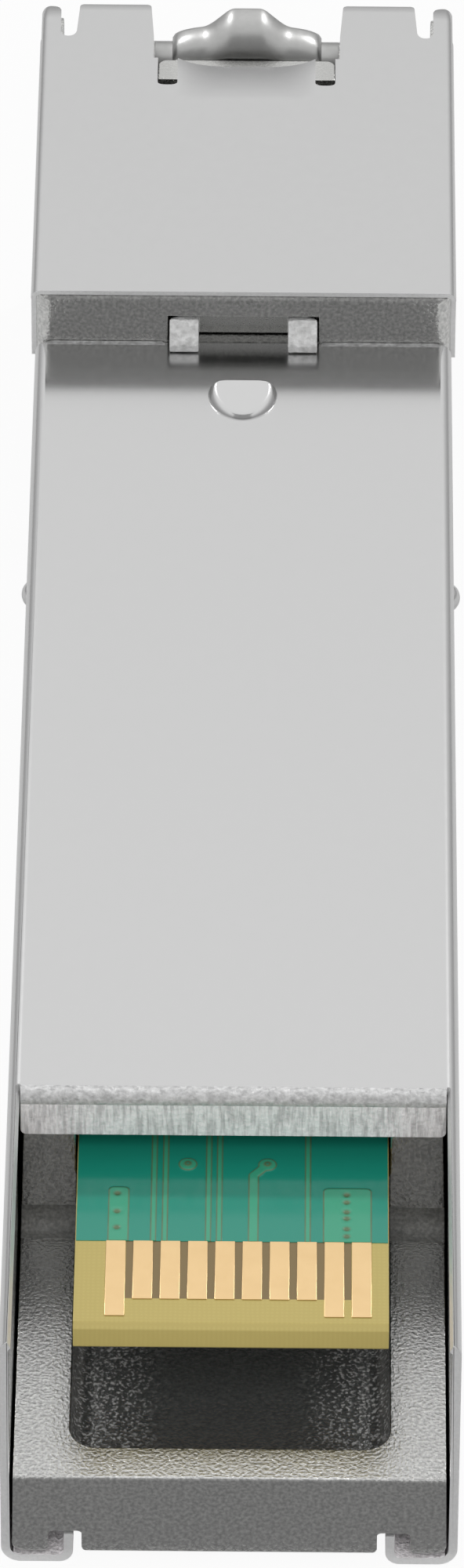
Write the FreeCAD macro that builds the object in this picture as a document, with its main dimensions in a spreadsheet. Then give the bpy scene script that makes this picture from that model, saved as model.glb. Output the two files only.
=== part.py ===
import FreeCAD, Part
import math
import os
import re
import Sketcher

# Small form-factor pluggable optical transceiver, lying on its top side with its underside up.
# Lengths in millimetres. +X is to the right, +Y towards the optical nose, +Z up. The origin is under
# the middle of the module. Places along the module are measured from the step where the nose starts.

doc = FreeCAD.newDocument("transceiver")
sheet = doc.addObject("Spreadsheet::Sheet", "sizes")

SIZES = {
    # Overall
    "body_length": 47.75,
    "nose_length": 14.0,
    "tab_length": 1.85,
    "body_height": 8.6,
    "nose_rise": 2.0,
    # Folded cover
    "cover_setback": 0.125,
    "cover_sheet": 0.27,
    "cover_bend": 0.42,
    "cover_opening": 36.91,
    "cover_front_gap": 0.05,
    "hook_reach": 2.1,
    "hook_lip": 1.1,
    "flange_inset": 0.37,
    "flange_drop": 1.53,
    "flange_bend": 0.36,
    "flange_corner": 0.18,
    "skirt_curl": 0.24,
    "relief_reach": 0.1,
    "latch_shoulder": 2.5,
    "boss_rise": 0.45,
    "boss_width": 2.06,
    "boss_top_width": 1.4,
    "boss_straight": 0.4,
    "dimple_place": 8.0,
    "dimple_height": 4.6,
    "dimple_radius": 0.5,
    "dimple_rise": 0.28,
    # Nose cover
    "nose_width": 13.55,
    "nose_sheet": 0.15,
    "nose_bend": 0.3,
    "nose_skirt": 2.9,
    "notch_width": 6.1,
    "notch_depth": 1.2,
    "slot_width": 0.65,
    "slot_length": 1.5,
    "slot_inset": 0.15,
    "tongue_radius": 4.0,
    "tab_width": 2.55,
    "tab_corner": 0.3,
    "tab_curl": 0.45,
    "tab_curl_radius": 1.2,
    "prong_width": 0.63,
    "prong_curl": 0.85,
    "prong_curl_radius": 3.0,
    "prong_inset": 0.03,
    "prong_tip_radius": 0.28,
    # Die-cast housing
    "casting_gap": 0.1,
    "casting_lift": 0.16,
    "casting_draft": 0.12,
    "casting_wall": 0.78,
    "casting_floor": 1.25,
    "groove_inner_gap": 0.25,
    "groove_outer_gap": 0.44,
    "groove_corner": 0.14,
    "rear_shoulder": 5.3,
    "cove_radius": 0.6,
    "board_side_gap": 0.05,
    "rail_length": 6.0,
    "rear_bar": 1.35,
    "pocket_corner": 0.8,
    "pocket_fillet": 0.6,
    "bar_edge": 0.12,
    "step_corner": 0.5,
    "nose_edge": 0.6,
    "foot_corner": 0.3,
    "nose_side_wall": 0.82,
    "nose_top_wall": 1.3,
    "port_roof": 0.9,
    "cheek_thickness": 0.45,
    "cheek_radius": 0.7,
    "rib_thickness": 1.0,
    "rear_rib_place": 35.5,
    "front_rib_place": 9.5,
    # Handle, cam and pin
    "pivot_reach": 1.0,
    "pivot_rise": 0.25,
    "barrel_radius": 0.7,
    "pin_radius": 0.4,
    "pin_press_gap": 0.01,
    "pin_running_gap": 0.04,
    "handle_side_gap": 0.1,
    "arm_thickness": 0.55,
    "arm_depth": 1.15,
    "arm_edge": 0.25,
    "bar_height": 1.2,
    "bar_clearance": 0.3,
    "handle_corner": 1.3,
    "handle_turn": 90,
    "cam_flat_width": 1.5,
    "cam_shoulder_width": 2.6,
    "cam_base_width": 4.3,
    "cam_tip_radius": 0.2,
    "cam_gap": 0.06,
    "cam_relief_length": 0.55,
    "cam_relief_depth": 0.5,
    # Slider and its spring
    "slider_travel": 0.95,
    "slider_thickness": 0.86,
    "slider_gap": 0.04,
    "slider_roof_gap": 0.12,
    "slider_narrow_width": 4.72,
    "slider_wide_width": 5.8,
    "slider_wide_gap": 0.1,
    "slider_neck": 3.3,
    "slider_stop": 2.0,
    "slider_corner": 0.3,
    "slider_ear": 1.1,
    "slider_waist_length": 1.8,
    "slider_waist_width": 4.0,
    "tine_width": 0.94,
    "tine_reach": 0.6,
    "tine_toe": 0.26,
    "web_place": 0.45,
    "spring_slot_width": 1.1,
    "spring_slot_start": 5.0,
    "spring_slot_length": 5.0,
    "spring_post_gap": 0.15,
    "spring_post_length": 0.6,
    "spring_wire": 0.14,
    "spring_coil": 0.72,
    "spring_turns": 5,
    "spring_end_gap": 0.02,
    # Optics
    "port_pitch": 6.25,
    "port_size": 4.6,
    "port_height": 4.9,
    "port_back": 4.6,
    "latch_slot_width": 3.2,
    "latch_slot_height": 0.9,
    "insert_back": 3.0,
    "insert_gap": 0.05,
    "barrel_reach": 9.0,
    "nose_barrel_radius": 1.475,
    "can_radius": 2.15,
    "can_neck_radius": 1.7,
    "can_flange": 1.7,
    "can_neck_length": 0.8,
    "can_back": 3.2,
    "header_radius": 1.9,
    "header_thickness": 0.4,
    "sleeve_outer_radius": 0.95,
    "sleeve_bore_radius": 0.625,
    "sleeve_gap": 0.02,
    "sleeve_length": 5.0,
    "saddle_place": 1.0,
    "saddle_length": 1.5,
    "saddle_gap": 0.02,
    "clamp_rise": 2.5,
    "clamp_side_gap": 0.1,
    # Circuit board and what it carries
    "board_reach": 44.33,
    "board_front": 6.0,
    "board_width": 9.2,
    "board_thickness": 1.0,
    "board_depth": 2.4,
    "board_chamfer": 0.17,
    "pad_pitch": 0.8,
    "pad_width": 0.58,
    "pad_thickness": 0.035,
    "pad_shift": 0.2,
    "pad_inset_long": 0.4,
    "pad_inset_short": 1.14,
    "pad_start": 3.69,
    "flex_width": 3.2,
    "flex_sheet": 0.15,
    "flex_bend": 0.5,
    "flex_drop": 2.6,
    "flex_overlap": 2.2,
    "chip_height": 0.9,
    "driver_size": 4.0,
    "driver_place": 13.0,
    "driver_offset": 1.8,
    "amplifier_size": 3.0,
    "amplifier_offset": 2.4,
    "controller_size": 5.0,
    "controller_place": 21.5,
    "memory_length": 3.0,
    "memory_width": 2.0,
    "memory_place": 28.0,
    "memory_offset": 1.5,
    "inductor_size": 1.6,
    "inductor_height": 1.2,
    "inductor_place": 32.0,
    "inductor_pitch": 2.6,
    "capacitor_length": 1.0,
    "capacitor_width": 0.5,
    "capacitor_place": 16.5,
    "capacitor_pitch": 1.1,
}
CAPACITORS = 7
INDUCTORS = 3
PADS = 10
PADS_LONG = (0, 8, 9)
SPRING_WIRE_SIDES = 4
CAM_FLANK_STEPS = 4
CAM_SHOULDER_SHARE = 0.55
CAM_BASE_SHARE = 0.03
CLOSE = 1e-4

for row, (alias, size) in enumerate(SIZES.items(), start=1):
    sheet.set(f"A{row}", alias)
    sheet.set(f"B{row}", str(size))
    sheet.setAlias(f"B{row}", alias)
doc.recompute()


def bound(text):
    """The text with each size's name pointing to its cell in the sheet."""
    return re.sub(r"[a-z_]+", lambda word: f"sizes.{word[0]}" if word[0] in SIZES else word[0], text)


def number(text):
    """What a text of sizes comes to."""
    return float(sheet.evalExpression(text))


def bind(thing, name, text):
    thing.setExpression(name, bound(text))


def ahead(text):
    """Y of a place in front of the step, towards the nose."""
    return f"({STEP} + ({text}))"


def behind(text):
    """Y of a place behind the step, towards the edge connector."""
    return f"({STEP} - ({text}))"


STEP = "(body_length - nose_length - tab_length)/2"
REAR = behind("body_length")
FRONT = ahead("nose_length")
PLATE = "body_height"
FACE = "(body_height + nose_rise)"
PAST = "1"


def box(name, x, y, z):
    """A block between pairs of limits along X, Y and Z."""
    block = doc.addObject("Part::Box", name)
    for side, axis, (low, high) in zip(("Length", "Width", "Height"), "xyz", (x, y, z)):
        bind(block, side, f"({high}) - ({low})")
        bind(block, f"Placement.Base.{axis}", low)
    return block


TURNS = {
    "x": FreeCAD.Rotation(FreeCAD.Vector(0, 1, 0), 90),
    "y": FreeCAD.Rotation(FreeCAD.Vector(1, 0, 0), -90),
    "z": FreeCAD.Rotation(),
}


def rod(name, axis, radius, start, end, across):
    """A cylinder along an axis, between two limits, at a place given on the other two axes."""
    cylinder = doc.addObject("Part::Cylinder", name)
    cylinder.Placement.Rotation = TURNS[axis]
    bind(cylinder, "Radius", radius)
    bind(cylinder, "Height", f"({end}) - ({start})")
    bind(cylinder, f"Placement.Base.{axis}", start)
    for other, place in zip([letter for letter in "xyz" if letter != axis], across):
        bind(cylinder, f"Placement.Base.{other}", place)
    return cylinder


PLANES = {
    "xy": (FreeCAD.Rotation(), FreeCAD.Vector(0, 0, 1), "z"),
    "xz": (FreeCAD.Rotation(FreeCAD.Vector(1, 0, 0), 90), FreeCAD.Vector(0, 1, 0), "y"),
    "yz": (FreeCAD.Rotation(FreeCAD.Vector(1, 1, 1), 120), FreeCAD.Vector(1, 0, 0), "x"),
}


def sketch(name, plane, corners):
    """A closed outline. A corner is (u, v), or (u, v, radius, turn) where an arc leads to the next one:
    turn is 1 for an arc to the left and -1 for one to the right."""
    drawing = doc.addObject("Sketcher::SketchObject", name)
    drawing.Placement.Rotation = PLANES[plane][0]
    points = [FreeCAD.Vector(number(corner[0]), number(corner[1]), 0) for corner in corners]
    starts = []
    for index, corner in enumerate(corners):
        here = points[index]
        there = points[(index + 1) % len(points)]
        if len(corner) == 2:
            drawing.addGeometry(Part.LineSegment(here, there))
            starts.append((1, 2))
            continue
        radius = number(corner[2])
        chord = there - here
        left = FreeCAD.Vector(-chord.y, chord.x, 0).normalize()
        rise = math.sqrt(max(radius**2 - chord.Length**2 / 4, 0))
        centre = (here + there) / 2 + left * rise * corner[3]
        middle = centre - left * radius * corner[3]
        ends = (here, there) if corner[3] > 0 else (there, here)
        drawing.addGeometry(Part.Arc(ends[0], middle, ends[1]))
        starts.append((1, 2) if corner[3] > 0 else (2, 1))
    for index, corner in enumerate(corners):
        following = (index + 1) % len(corners)
        drawing.addConstraint(
            Sketcher.Constraint("Coincident", index, starts[index][1], following, starts[following][0])
        )
        for kind, text in (("DistanceX", corner[0]), ("DistanceY", corner[1])):
            rule = drawing.addConstraint(
                Sketcher.Constraint(kind, -1, 1, index, starts[index][0], number(text))
            )
            bind(drawing, f"Constraints[{rule}]", text)
        if len(corner) > 2:
            rule = drawing.addConstraint(Sketcher.Constraint("Radius", index, number(corner[2])))
            bind(drawing, f"Constraints[{rule}]", corner[2])
    return drawing


def profile(name, plane, corners, start, end):
    """An outline carried straight from one limit to another."""
    drawing = sketch(f"{name}_outline", plane, corners)
    bind(drawing, f"Placement.Base.{PLANES[plane][2]}", start)
    solid = doc.addObject("Part::Extrusion", name)
    solid.Base = drawing
    solid.DirMode = "Custom"
    solid.Dir = PLANES[plane][1]
    solid.Solid = True
    bind(solid, "LengthFwd", f"({end}) - ({start})")
    return solid


def turned(name, corners, x, z):
    """An outline of (y, radius) corners turned about an axis along Y."""
    solid = doc.addObject("Part::Revolution", name)
    solid.Source = sketch(f"{name}_outline", "yz", corners)
    solid.Axis = FreeCAD.Vector(0, 1, 0)
    solid.Angle = 360
    solid.Solid = True
    bind(solid, "Placement.Base.x", x)
    bind(solid, "Placement.Base.z", z)
    return solid


def folded(path, thickness, bend):
    """The outline of a folded sheet: its outer face follows a path of square turns, all to one side."""
    places = [(number(u), number(v)) for u, v in path]
    headings = []
    for (u, v), (next_u, next_v) in zip(places, places[1:]):
        reach = math.hypot(next_u - u, next_v - v)
        headings.append((round((next_u - u) / reach), round((next_v - v) / reach)))
    first, second = headings[0], headings[1]
    turn = first[0] * second[1] - first[1] * second[0]

    def shifted(corner, *moves):
        texts = list(corner)
        for (along_u, along_v), size in moves:
            texts[0] = f"({texts[0]}) + ({along_u})*({size})"
            texts[1] = f"({texts[1]}) + ({along_v})*({size})"
        return tuple(texts)

    inward = [(-turn * v, turn * u) for u, v in headings]
    back = [(-u, -v) for u, v in headings]
    outer = [path[0]]
    inner = [shifted(path[0], (inward[0], thickness))]
    for index in range(1, len(path) - 1):
        corner = path[index]
        outer.append((*shifted(corner, (back[index - 1], bend)), bend, turn))
        outer.append(shifted(corner, (headings[index], bend)))
        inner.append(shifted(corner, (back[index - 1], bend), (inward[index - 1], thickness)))
        inner_end = shifted(corner, (headings[index], bend), (inward[index], thickness))
        inner.append((*inner_end, f"({bend}) - ({thickness})", -turn))
    outer.append(path[-1])
    inner.append(shifted(path[-1], (inward[-1], thickness)))
    return outer + inner[::-1]


def fuse(name, *solids):
    whole = doc.addObject("Part::MultiFuse", name)
    whole.Shapes = list(solids)
    whole.Refine = True
    return whole


def cut(name, solid, *tools):
    rest = doc.addObject("Part::Cut", name)
    rest.Base = solid
    rest.Tool = tools[0] if len(tools) == 1 else fuse(f"{name}_tools", *tools)
    rest.Refine = True
    return rest


def mirrored(name, solid):
    """The same solid on the other side of the module's middle plane."""
    other = doc.addObject("Part::Mirroring", name)
    other.Source = solid
    other.Normal = FreeCAD.Vector(1, 0, 0)
    return other


def group(name, solids):
    together = doc.addObject("Part::Compound", name)
    together.Links = solids
    return together


def rounded(name, solid, radius, chosen):
    """A solid with the edges that chosen(edge) picks rounded."""
    doc.recompute()
    fillet = doc.addObject("Part::Fillet", name)
    fillet.Base = solid
    size = number(radius)
    fillet.Edges = [(index, size, size) for index, edge in enumerate(solid.Shape.Edges, 1) if chosen(edge)]
    return fillet


def runs_along(edge, axis):
    """Whether an edge is a straight one along an axis."""
    if len(edge.Vertexes) != 2:
        return False
    run = edge.Vertexes[1].Point - edge.Vertexes[0].Point
    return abs(abs(getattr(run, axis)) - edge.Length) < CLOSE


def near(value, text):
    return abs(value - number(text)) < CLOSE


nodes = {}


def finished(node, solid):
    """Names a solid as one of the module's pieces."""
    solid.Label = node
    nodes[node] = solid


# Folded cover: plate, side skirts and hooks from one sheet, with the rear flange, boss and dimples
cover_half = "(nose_width/2 - cover_setback)"
lip = f"({cover_half} - hook_reach)"
cover_path = [
    (f"-{lip}", "hook_lip"),
    (f"-{lip}", "0"),
    (f"-{cover_half}", "0"),
    (f"-{cover_half}", PLATE),
    (cover_half, PLATE),
    (cover_half, "0"),
    (lip, "0"),
    (lip, "hook_lip"),
]
cover_channel = profile(
    "cover_channel", "xz", folded(cover_path, "cover_sheet", "cover_bend"), REAR, behind("cover_front_gap")
)
bend_line = behind("cover_opening - flange_bend")
curl_inner = f"({cover_half} - skirt_curl)"
flange_half = f"({cover_half} - flange_inset)"
through_plate = (f"{PLATE} - cover_bend", f"{PLATE} + {PAST}")
rear_opening = box(
    "rear_opening", (f"-{curl_inner}", curl_inner), (f"{REAR} - {PAST}", bend_line), through_plate
)
relief_end = f"({bend_line} + relief_reach)"
relief_length = (f"{bend_line} - {PAST}", relief_end)
relief_slot = box("relief_slot", (flange_half, curl_inner), relief_length, through_plate)
relief_middle = f"({flange_half} + {curl_inner})/2"
relief_round = rod(
    "relief_round", "z", f"({curl_inner} - {flange_half})/2", *through_plate, (relief_middle, relief_end)
)
relief = fuse("relief", relief_slot, relief_round)
flange_path = [
    (bend_line, PLATE),
    (behind("cover_opening"), PLATE),
    (behind("cover_opening"), f"{PLATE} - flange_drop"),
]
flange_root = f"({bend_line} + relief_reach + cover_sheet)"
flange_strip = profile(
    "flange_strip",
    "yz",
    [(flange_root, PLATE)]
    + folded(flange_path, "cover_sheet", "flange_bend")[1:-1]
    + [(flange_root, f"{PLATE} - cover_sheet")],
    f"-{flange_half}",
    flange_half,
)
rear_flange = rounded(
    "rear_flange",
    flange_strip,
    "flange_corner",
    lambda edge: runs_along(edge, "y") and near(edge.CenterOfMass.z, f"{PLATE} - flange_drop"),
)
boss_root = f"({PLATE} - cover_sheet/2)"
boss_top = f"({PLATE} + boss_rise)"
boss_bend = "(boss_width - boss_top_width)/2"
boss_half = [
    ("0", boss_root),
    ("boss_width/2", boss_root),
    ("boss_width/2", f"{boss_top} - {boss_bend}", boss_bend, 1),
    ("boss_top_width/2", boss_top),
    ("0", boss_top),
]
boss_heel = doc.addObject("Part::Revolution", "boss_heel")
boss_heel.Source = sketch("boss_heel_outline", "xz", boss_half)
boss_heel.Axis = FreeCAD.Vector(0, 0, 1)
boss_heel.Angle = 360
boss_heel.Solid = True
bind(boss_heel, "Placement.Base.y", behind("latch_shoulder + boss_straight"))
boss_front = box(
    "boss_front",
    ("-boss_width", "boss_width"),
    (behind("latch_shoulder + boss_straight"), behind("latch_shoulder - boss_width")),
    (f"{boss_root} - {PAST}", f"{boss_top} + {PAST}"),
)
boss_arch = [
    ("-boss_width/2", boss_root),
    ("boss_width/2", boss_root),
    ("boss_width/2", f"{boss_top} - {boss_bend}", boss_bend, 1),
    ("boss_top_width/2", boss_top),
    ("-boss_top_width/2", boss_top, boss_bend, 1),
    ("-boss_width/2", f"{boss_top} - {boss_bend}"),
]
boss_straight = profile(
    "boss_straight", "xz", boss_arch, behind("latch_shoulder + boss_straight"), behind("latch_shoulder")
)
dimple_ball = doc.addObject("Part::Sphere", "dimple_ball")
bind(dimple_ball, "Radius", "dimple_radius")
bind(dimple_ball, "Placement.Base.x", f"{cover_half} + dimple_rise - dimple_radius")
bind(dimple_ball, "Placement.Base.y", behind("dimple_place"))
bind(dimple_ball, "Placement.Base.z", "dimple_height")
dimple_inside = box(
    "dimple_inside",
    ("0", f"{cover_half} - cover_sheet/2"),
    (behind("dimple_place + dimple_radius*2"), behind("dimple_place - dimple_radius*2")),
    ("dimple_height - dimple_radius*2", "dimple_height + dimple_radius*2"),
)
dimple = cut("dimple", dimple_ball, dimple_inside)
cover = fuse(
    "cover",
    cut("cover_open", cover_channel, rear_opening, relief, mirrored("relief_left", relief)),
    rear_flange,
    cut("boss_dome", boss_heel, boss_front),
    boss_straight,
    dimple,
    mirrored("dimple_left", dimple),
)
finished("shell_cover", cover)

# Nose cover: a thin folded sheet with the notch, its relief slots, two tabs and two bent prongs
nose_half = "nose_width/2"
nose_path = [
    (f"-{nose_half}", f"{FACE} - nose_skirt"),
    (f"-{nose_half}", FACE),
    (nose_half, FACE),
    (nose_half, f"{FACE} - nose_skirt"),
]
nose_channel = profile("nose_channel", "xz", folded(nose_path, "nose_sheet", "nose_bend"), STEP, FRONT)
under_sheet = f"({FACE} - nose_sheet)"
notch_back = ahead("nose_length - notch_depth")
through_face = (f"{under_sheet} - nose_bend", f"{FACE} + {PAST}")
notch = box(
    "notch", ("-notch_width/2", "notch_width/2"), (notch_back, f"{FRONT} + {PAST}"), through_face
)
slot_outer = "(notch_width/2 - slot_inset)"
slot = box(
    "slot",
    (f"{slot_outer} - slot_width", slot_outer),
    (ahead("nose_length - notch_depth - slot_length"), f"{FRONT} + {PAST}"),
    through_face,
)


def bent_down(name, x, start, reach, radius):
    """A strip of the nose sheet that leaves its face at start and bends down as an arc over its reach."""
    inner = f"({radius} - nose_sheet)"
    rise = f"sqrt({radius}*{radius} - {reach}*{reach})/{radius}"
    middle = f"({FACE} - {radius})"
    outline = [
        (start, FACE, radius, -1),
        (f"{start} + {reach}", f"{middle} + {radius}*{rise}"),
        (f"{start} + {inner}*{reach}/{radius}", f"{middle} + {inner}*{rise}", inner, 1),
        (start, under_sheet),
    ]
    return profile(name, "yz", outline, *x)


tongue_half = f"({slot_outer} - slot_width)"
tongue_back = ahead("nose_length - notch_depth - slot_length")
tongue_space = box("tongue_space", (f"-{tongue_half}", tongue_half), (tongue_back, notch_back), through_face)
tongue = bent_down("tongue", (f"-{tongue_half}", tongue_half), tongue_back, "slot_length", "tongue_radius")
tab_sides = ("notch_width/2", "notch_width/2 + tab_width")
prong_outer = f"({nose_half} - prong_inset)"
prong_sides = (f"{prong_outer} - prong_width", prong_outer)


def finger(name, sides, reach, radius, corner):
    """A finger of the nose sheet: flat at first, curled down over its reach, with rounded corners at its end."""
    bend_line = ahead(f"nose_length + tab_length - {reach}")
    flat = box(f"{name}_flat", sides, (FRONT, bend_line), (under_sheet, FACE))
    curl = bent_down(f"{name}_curl", sides, bend_line, reach, radius)

    def is_end_corner(edge):
        past_bend = edge.CenterOfMass.y > number(f"{bend_line} + nose_sheet")
        return past_bend and near(edge.Length, "nose_sheet")

    return fuse(name, flat, rounded(f"{name}_end", curl, corner, is_end_corner))


tab = finger("tab", tab_sides, "tab_curl", "tab_curl_radius", "tab_corner")
prong = finger("prong", prong_sides, "prong_curl", "prong_curl_radius", "prong_tip_radius")
skirt_setback = box(
    "skirt_setback",
    (f"-{nose_half} - {PAST}", f"{nose_half} + {PAST}"),
    (f"{STEP} - {PAST}", f"{STEP} + step_corner"),
    (f"{FACE} - nose_skirt - {PAST}", f"{FACE} - nose_bend"),
)
nose_sheet_cut = cut(
    "nose_sheet_cut", nose_channel, notch, slot, mirrored("slot_left", slot), tongue_space, skirt_setback
)
finished(
    "nose_cover",
    fuse(
        "nose_fingers",
        nose_sheet_cut,
        tongue,
        tab,
        mirrored("tab_left", tab),
        prong,
        mirrored("prong_left", prong),
    ),
)

# Die-cast housing: trough with hook grooves, rear shoulder, pocket and coves
casting_half = f"({cover_half} - cover_sheet - casting_gap)"
casting_bottom = "(cover_sheet + casting_lift)"
casting_top_half = f"({casting_half} - casting_draft)"
casting_top = f"({PLATE} - cover_sheet)"
room_half = f"({casting_half} - casting_wall)"
room_floor = f"({casting_bottom} + casting_floor)"
groove_inner = f"({lip} - groove_inner_gap)"
groove_outer = f"({lip} + cover_sheet + groove_outer_gap)"
groove_top = "(hook_lip + casting_gap)"
right_of_groove = [
    (groove_inner, casting_bottom),
    (groove_inner, groove_top),
    (groove_outer, groove_top),
    (groove_outer, casting_bottom),
    (casting_half, casting_bottom),
    (casting_top_half, casting_top),
    (room_half, casting_top),
    (room_half, room_floor),
]
left_of_groove = [(f"-{u}", v) for u, v in reversed(right_of_groove)]
trough = profile("trough", "xz", right_of_groove + left_of_groove, REAR, STEP)


def is_foot_edge(edge):
    return runs_along(edge, "y") and near(abs(edge.CenterOfMass.x), casting_half)


def is_groove_edge(edge):
    across = abs(edge.CenterOfMass.x)
    return runs_along(edge, "y") and (near(across, groove_inner) or near(across, groove_outer))


trough_footed = rounded("trough_footed", trough, "foot_corner", is_foot_edge)
trough_eased = rounded("trough_eased", trough_footed, "groove_corner", is_groove_edge)
shoulder = f"({PLATE} - rear_shoulder)"
rear_wall = "(cover_opening - flange_bend)"
rail_inner = "(board_width/2 + board_side_gap)"
rail_front = behind(f"{rear_wall} - rail_length")
rail = box(
    "rail",
    (rail_inner, room_half),
    (REAR, rail_front),
    (room_floor, casting_top),
)
fillet_outline = [
    (rail_inner, room_floor),
    (rail_inner, f"{room_floor} + pocket_fillet", "pocket_fillet", -1),
    (f"{rail_inner} - pocket_fillet", room_floor),
]
pocket_fillet = profile("pocket_fillet", "xz", fillet_outline, f"{REAR} + rear_bar", rail_front)
bar = box(
    "bar", (f"-{room_half}", room_half), (REAR, f"{REAR} + rear_bar"), (room_floor, casting_top)
)
wall_y = behind(rear_wall)
bay = profile(
    "bay",
    "yz",
    [
        (f"{REAR} - {PAST}", shoulder),
        (f"{wall_y} - cove_radius", shoulder, "cove_radius", 1),
        (wall_y, f"{shoulder} + cove_radius"),
        (wall_y, f"{PLATE} + {PAST}"),
        (f"{REAR} - {PAST}", f"{PLATE} + {PAST}"),
    ],
    f"-{cover_half}",
    cover_half,
)
board_top = f"({PLATE} - board_depth)"
board_under = f"({board_top} - board_thickness)"
ribs = [
    box(
        name,
        (f"-{room_half}", room_half),
        (behind(f"{place} + rib_thickness"), behind(place)),
        (room_floor, board_under),
    )
    for name, place in (("rear_rib", "rear_rib_place"), ("front_rib", "front_rib_place"))
]
saddle_span = (behind("saddle_place + saddle_length"), behind("saddle_place"))
saddle = box("saddle", (f"-{room_half}", room_half), saddle_span, (room_floor, "port_height"))

# Nose of the housing: the block behind the step, its cheeks and the cuts for slider, ports and barrels
block_half = f"({nose_half} - nose_sheet)"
nose_block = box("nose_block", (f"-{block_half}", block_half), (STEP, FRONT), ("0", under_sheet))
nose_stepped = rounded(
    "nose_stepped",
    nose_block,
    "step_corner",
    lambda edge: runs_along(edge, "z") and near(edge.CenterOfMass.y, STEP),
)
nose_eased = rounded(
    "nose_eased",
    nose_stepped,
    "nose_edge",
    lambda edge: runs_along(edge, "y") and near(edge.CenterOfMass.z, "0"),
)
nose_bent = rounded(
    "nose_bent",
    nose_eased,
    "nose_bend",
    lambda edge: runs_along(edge, "y") and near(edge.CenterOfMass.z, under_sheet),
)
pivot_y = ahead("nose_length + pivot_reach")
pivot_z = f"({PLATE} + pivot_rise)"
cheek_front = f"({pivot_y} + cheek_radius)"
cheek_root = f"({FRONT} - step_corner)"
cheek_outline = [
    (cheek_root, f"{pivot_z} - cheek_radius"),
    (pivot_y, f"{pivot_z} - cheek_radius", "cheek_radius", 1),
    (cheek_front, pivot_z),
    (cheek_front, f"{under_sheet} - cheek_radius", "cheek_radius", 1),
    (f"{cheek_front} - cheek_radius", under_sheet),
    (cheek_root, under_sheet),
]
cheek_outer = f"({nose_half} - nose_bend)"
cheek_inner = f"({cheek_outer} - cheek_thickness)"
cheek = profile("cheek", "yz", cheek_outline, cheek_inner, cheek_outer)
channel_roof = f"({PLATE} + slider_gap + slider_thickness + slider_roof_gap)"
narrow_half = "(slider_narrow_width/2 + slider_gap)"
wide_half = "(slider_wide_width/2 + slider_wide_gap)"
open_back = ahead("nose_length - notch_depth - slot_length")
channel_narrow = box(
    "channel_narrow",
    (f"-{narrow_half}", narrow_half),
    (f"{STEP} - {PAST}", ahead("slider_stop + slider_gap")),
    (PLATE, channel_roof),
)
channel_wide = box(
    "channel_wide",
    (f"-{wide_half}", wide_half),
    (ahead("slider_stop"), f"{FRONT} + {PAST}"),
    (PLATE, channel_roof),
)
channel_open = box(
    "channel_open",
    (f"-{wide_half}", wide_half),
    (open_back, f"{FRONT} + {PAST}"),
    (PLATE, f"{FACE} + {PAST}"),
)
cam_relief = box(
    "cam_relief",
    ("-cam_base_width/2 - slider_wide_gap", "cam_base_width/2 + slider_wide_gap"),
    (f"{FRONT} - cam_relief_length", f"{FRONT} + {PAST}"),
    (f"{PLATE} - cam_relief_depth", f"{PLATE} + {PAST}"),
)
cavity_half = f"({block_half} - nose_side_wall)"
cavity_top = f"({PLATE} - port_roof)"
cavity = box(
    "cavity",
    (f"-{cavity_half}", cavity_half),
    (f"{STEP} - {PAST}", f"{FRONT} + {PAST}"),
    ("nose_top_wall", cavity_top),
)
pin_hole = rod(
    "pin_hole",
    "x",
    "pin_radius + pin_press_gap",
    f"-{nose_half} - {PAST}",
    f"{nose_half} + {PAST}",
    (pivot_y, pivot_z),
)
post_start = ahead("spring_slot_start + spring_post_gap")
post_end = ahead("spring_slot_start + spring_post_gap + spring_post_length")
spring_post_half = "(spring_slot_width/2 - slider_wide_gap)"
spring_post = box(
    "spring_post",
    (f"-{spring_post_half}", spring_post_half),
    (post_start, post_end),
    (f"{PLATE} - port_roof/2", channel_roof),
)
saddle_bores = [
    rod(
        f"saddle_bore_{side}",
        "y",
        "can_radius + saddle_gap",
        f"{saddle_span[0]} - {PAST}",
        f"{saddle_span[1]} + {PAST}",
        (f"{sign}port_pitch/2", "port_height"),
    )
    for side, sign in (("left", "-"), ("right", "+"))
]
sides = [rail, mirrored("rail_left", rail), pocket_fillet, mirrored("fillet_left", pocket_fillet)]
body_solid = cut(
    "body_solid",
    fuse("body_blank", trough_eased, *sides, bar, saddle, *ribs),
    bay,
    *saddle_bores,
)
nose_solid = cut(
    "nose_solid",
    fuse("nose_blank", nose_bent, cheek, mirrored("cheek_left", cheek)),
    channel_narrow,
    channel_wide,
    channel_open,
    cam_relief,
    cavity,
    pin_hole,
)
casting = fuse("casting", body_solid, nose_solid, spring_post)


def is_pocket_corner(edge):
    if not runs_along(edge, "z"):
        return False
    return near(abs(edge.CenterOfMass.x), rail_inner) and near(edge.CenterOfMass.y, f"{REAR} + rear_bar")


def is_bar_edge(edge):
    middle = edge.CenterOfMass
    return runs_along(edge, "x") and near(middle.y, REAR) and near(middle.z, shoulder)


pocket_rounded = rounded("pocket_rounded", casting, "pocket_corner", is_pocket_corner)
finished("base_housing", rounded("casting_eased", pocket_rounded, "bar_edge", is_bar_edge))

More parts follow.
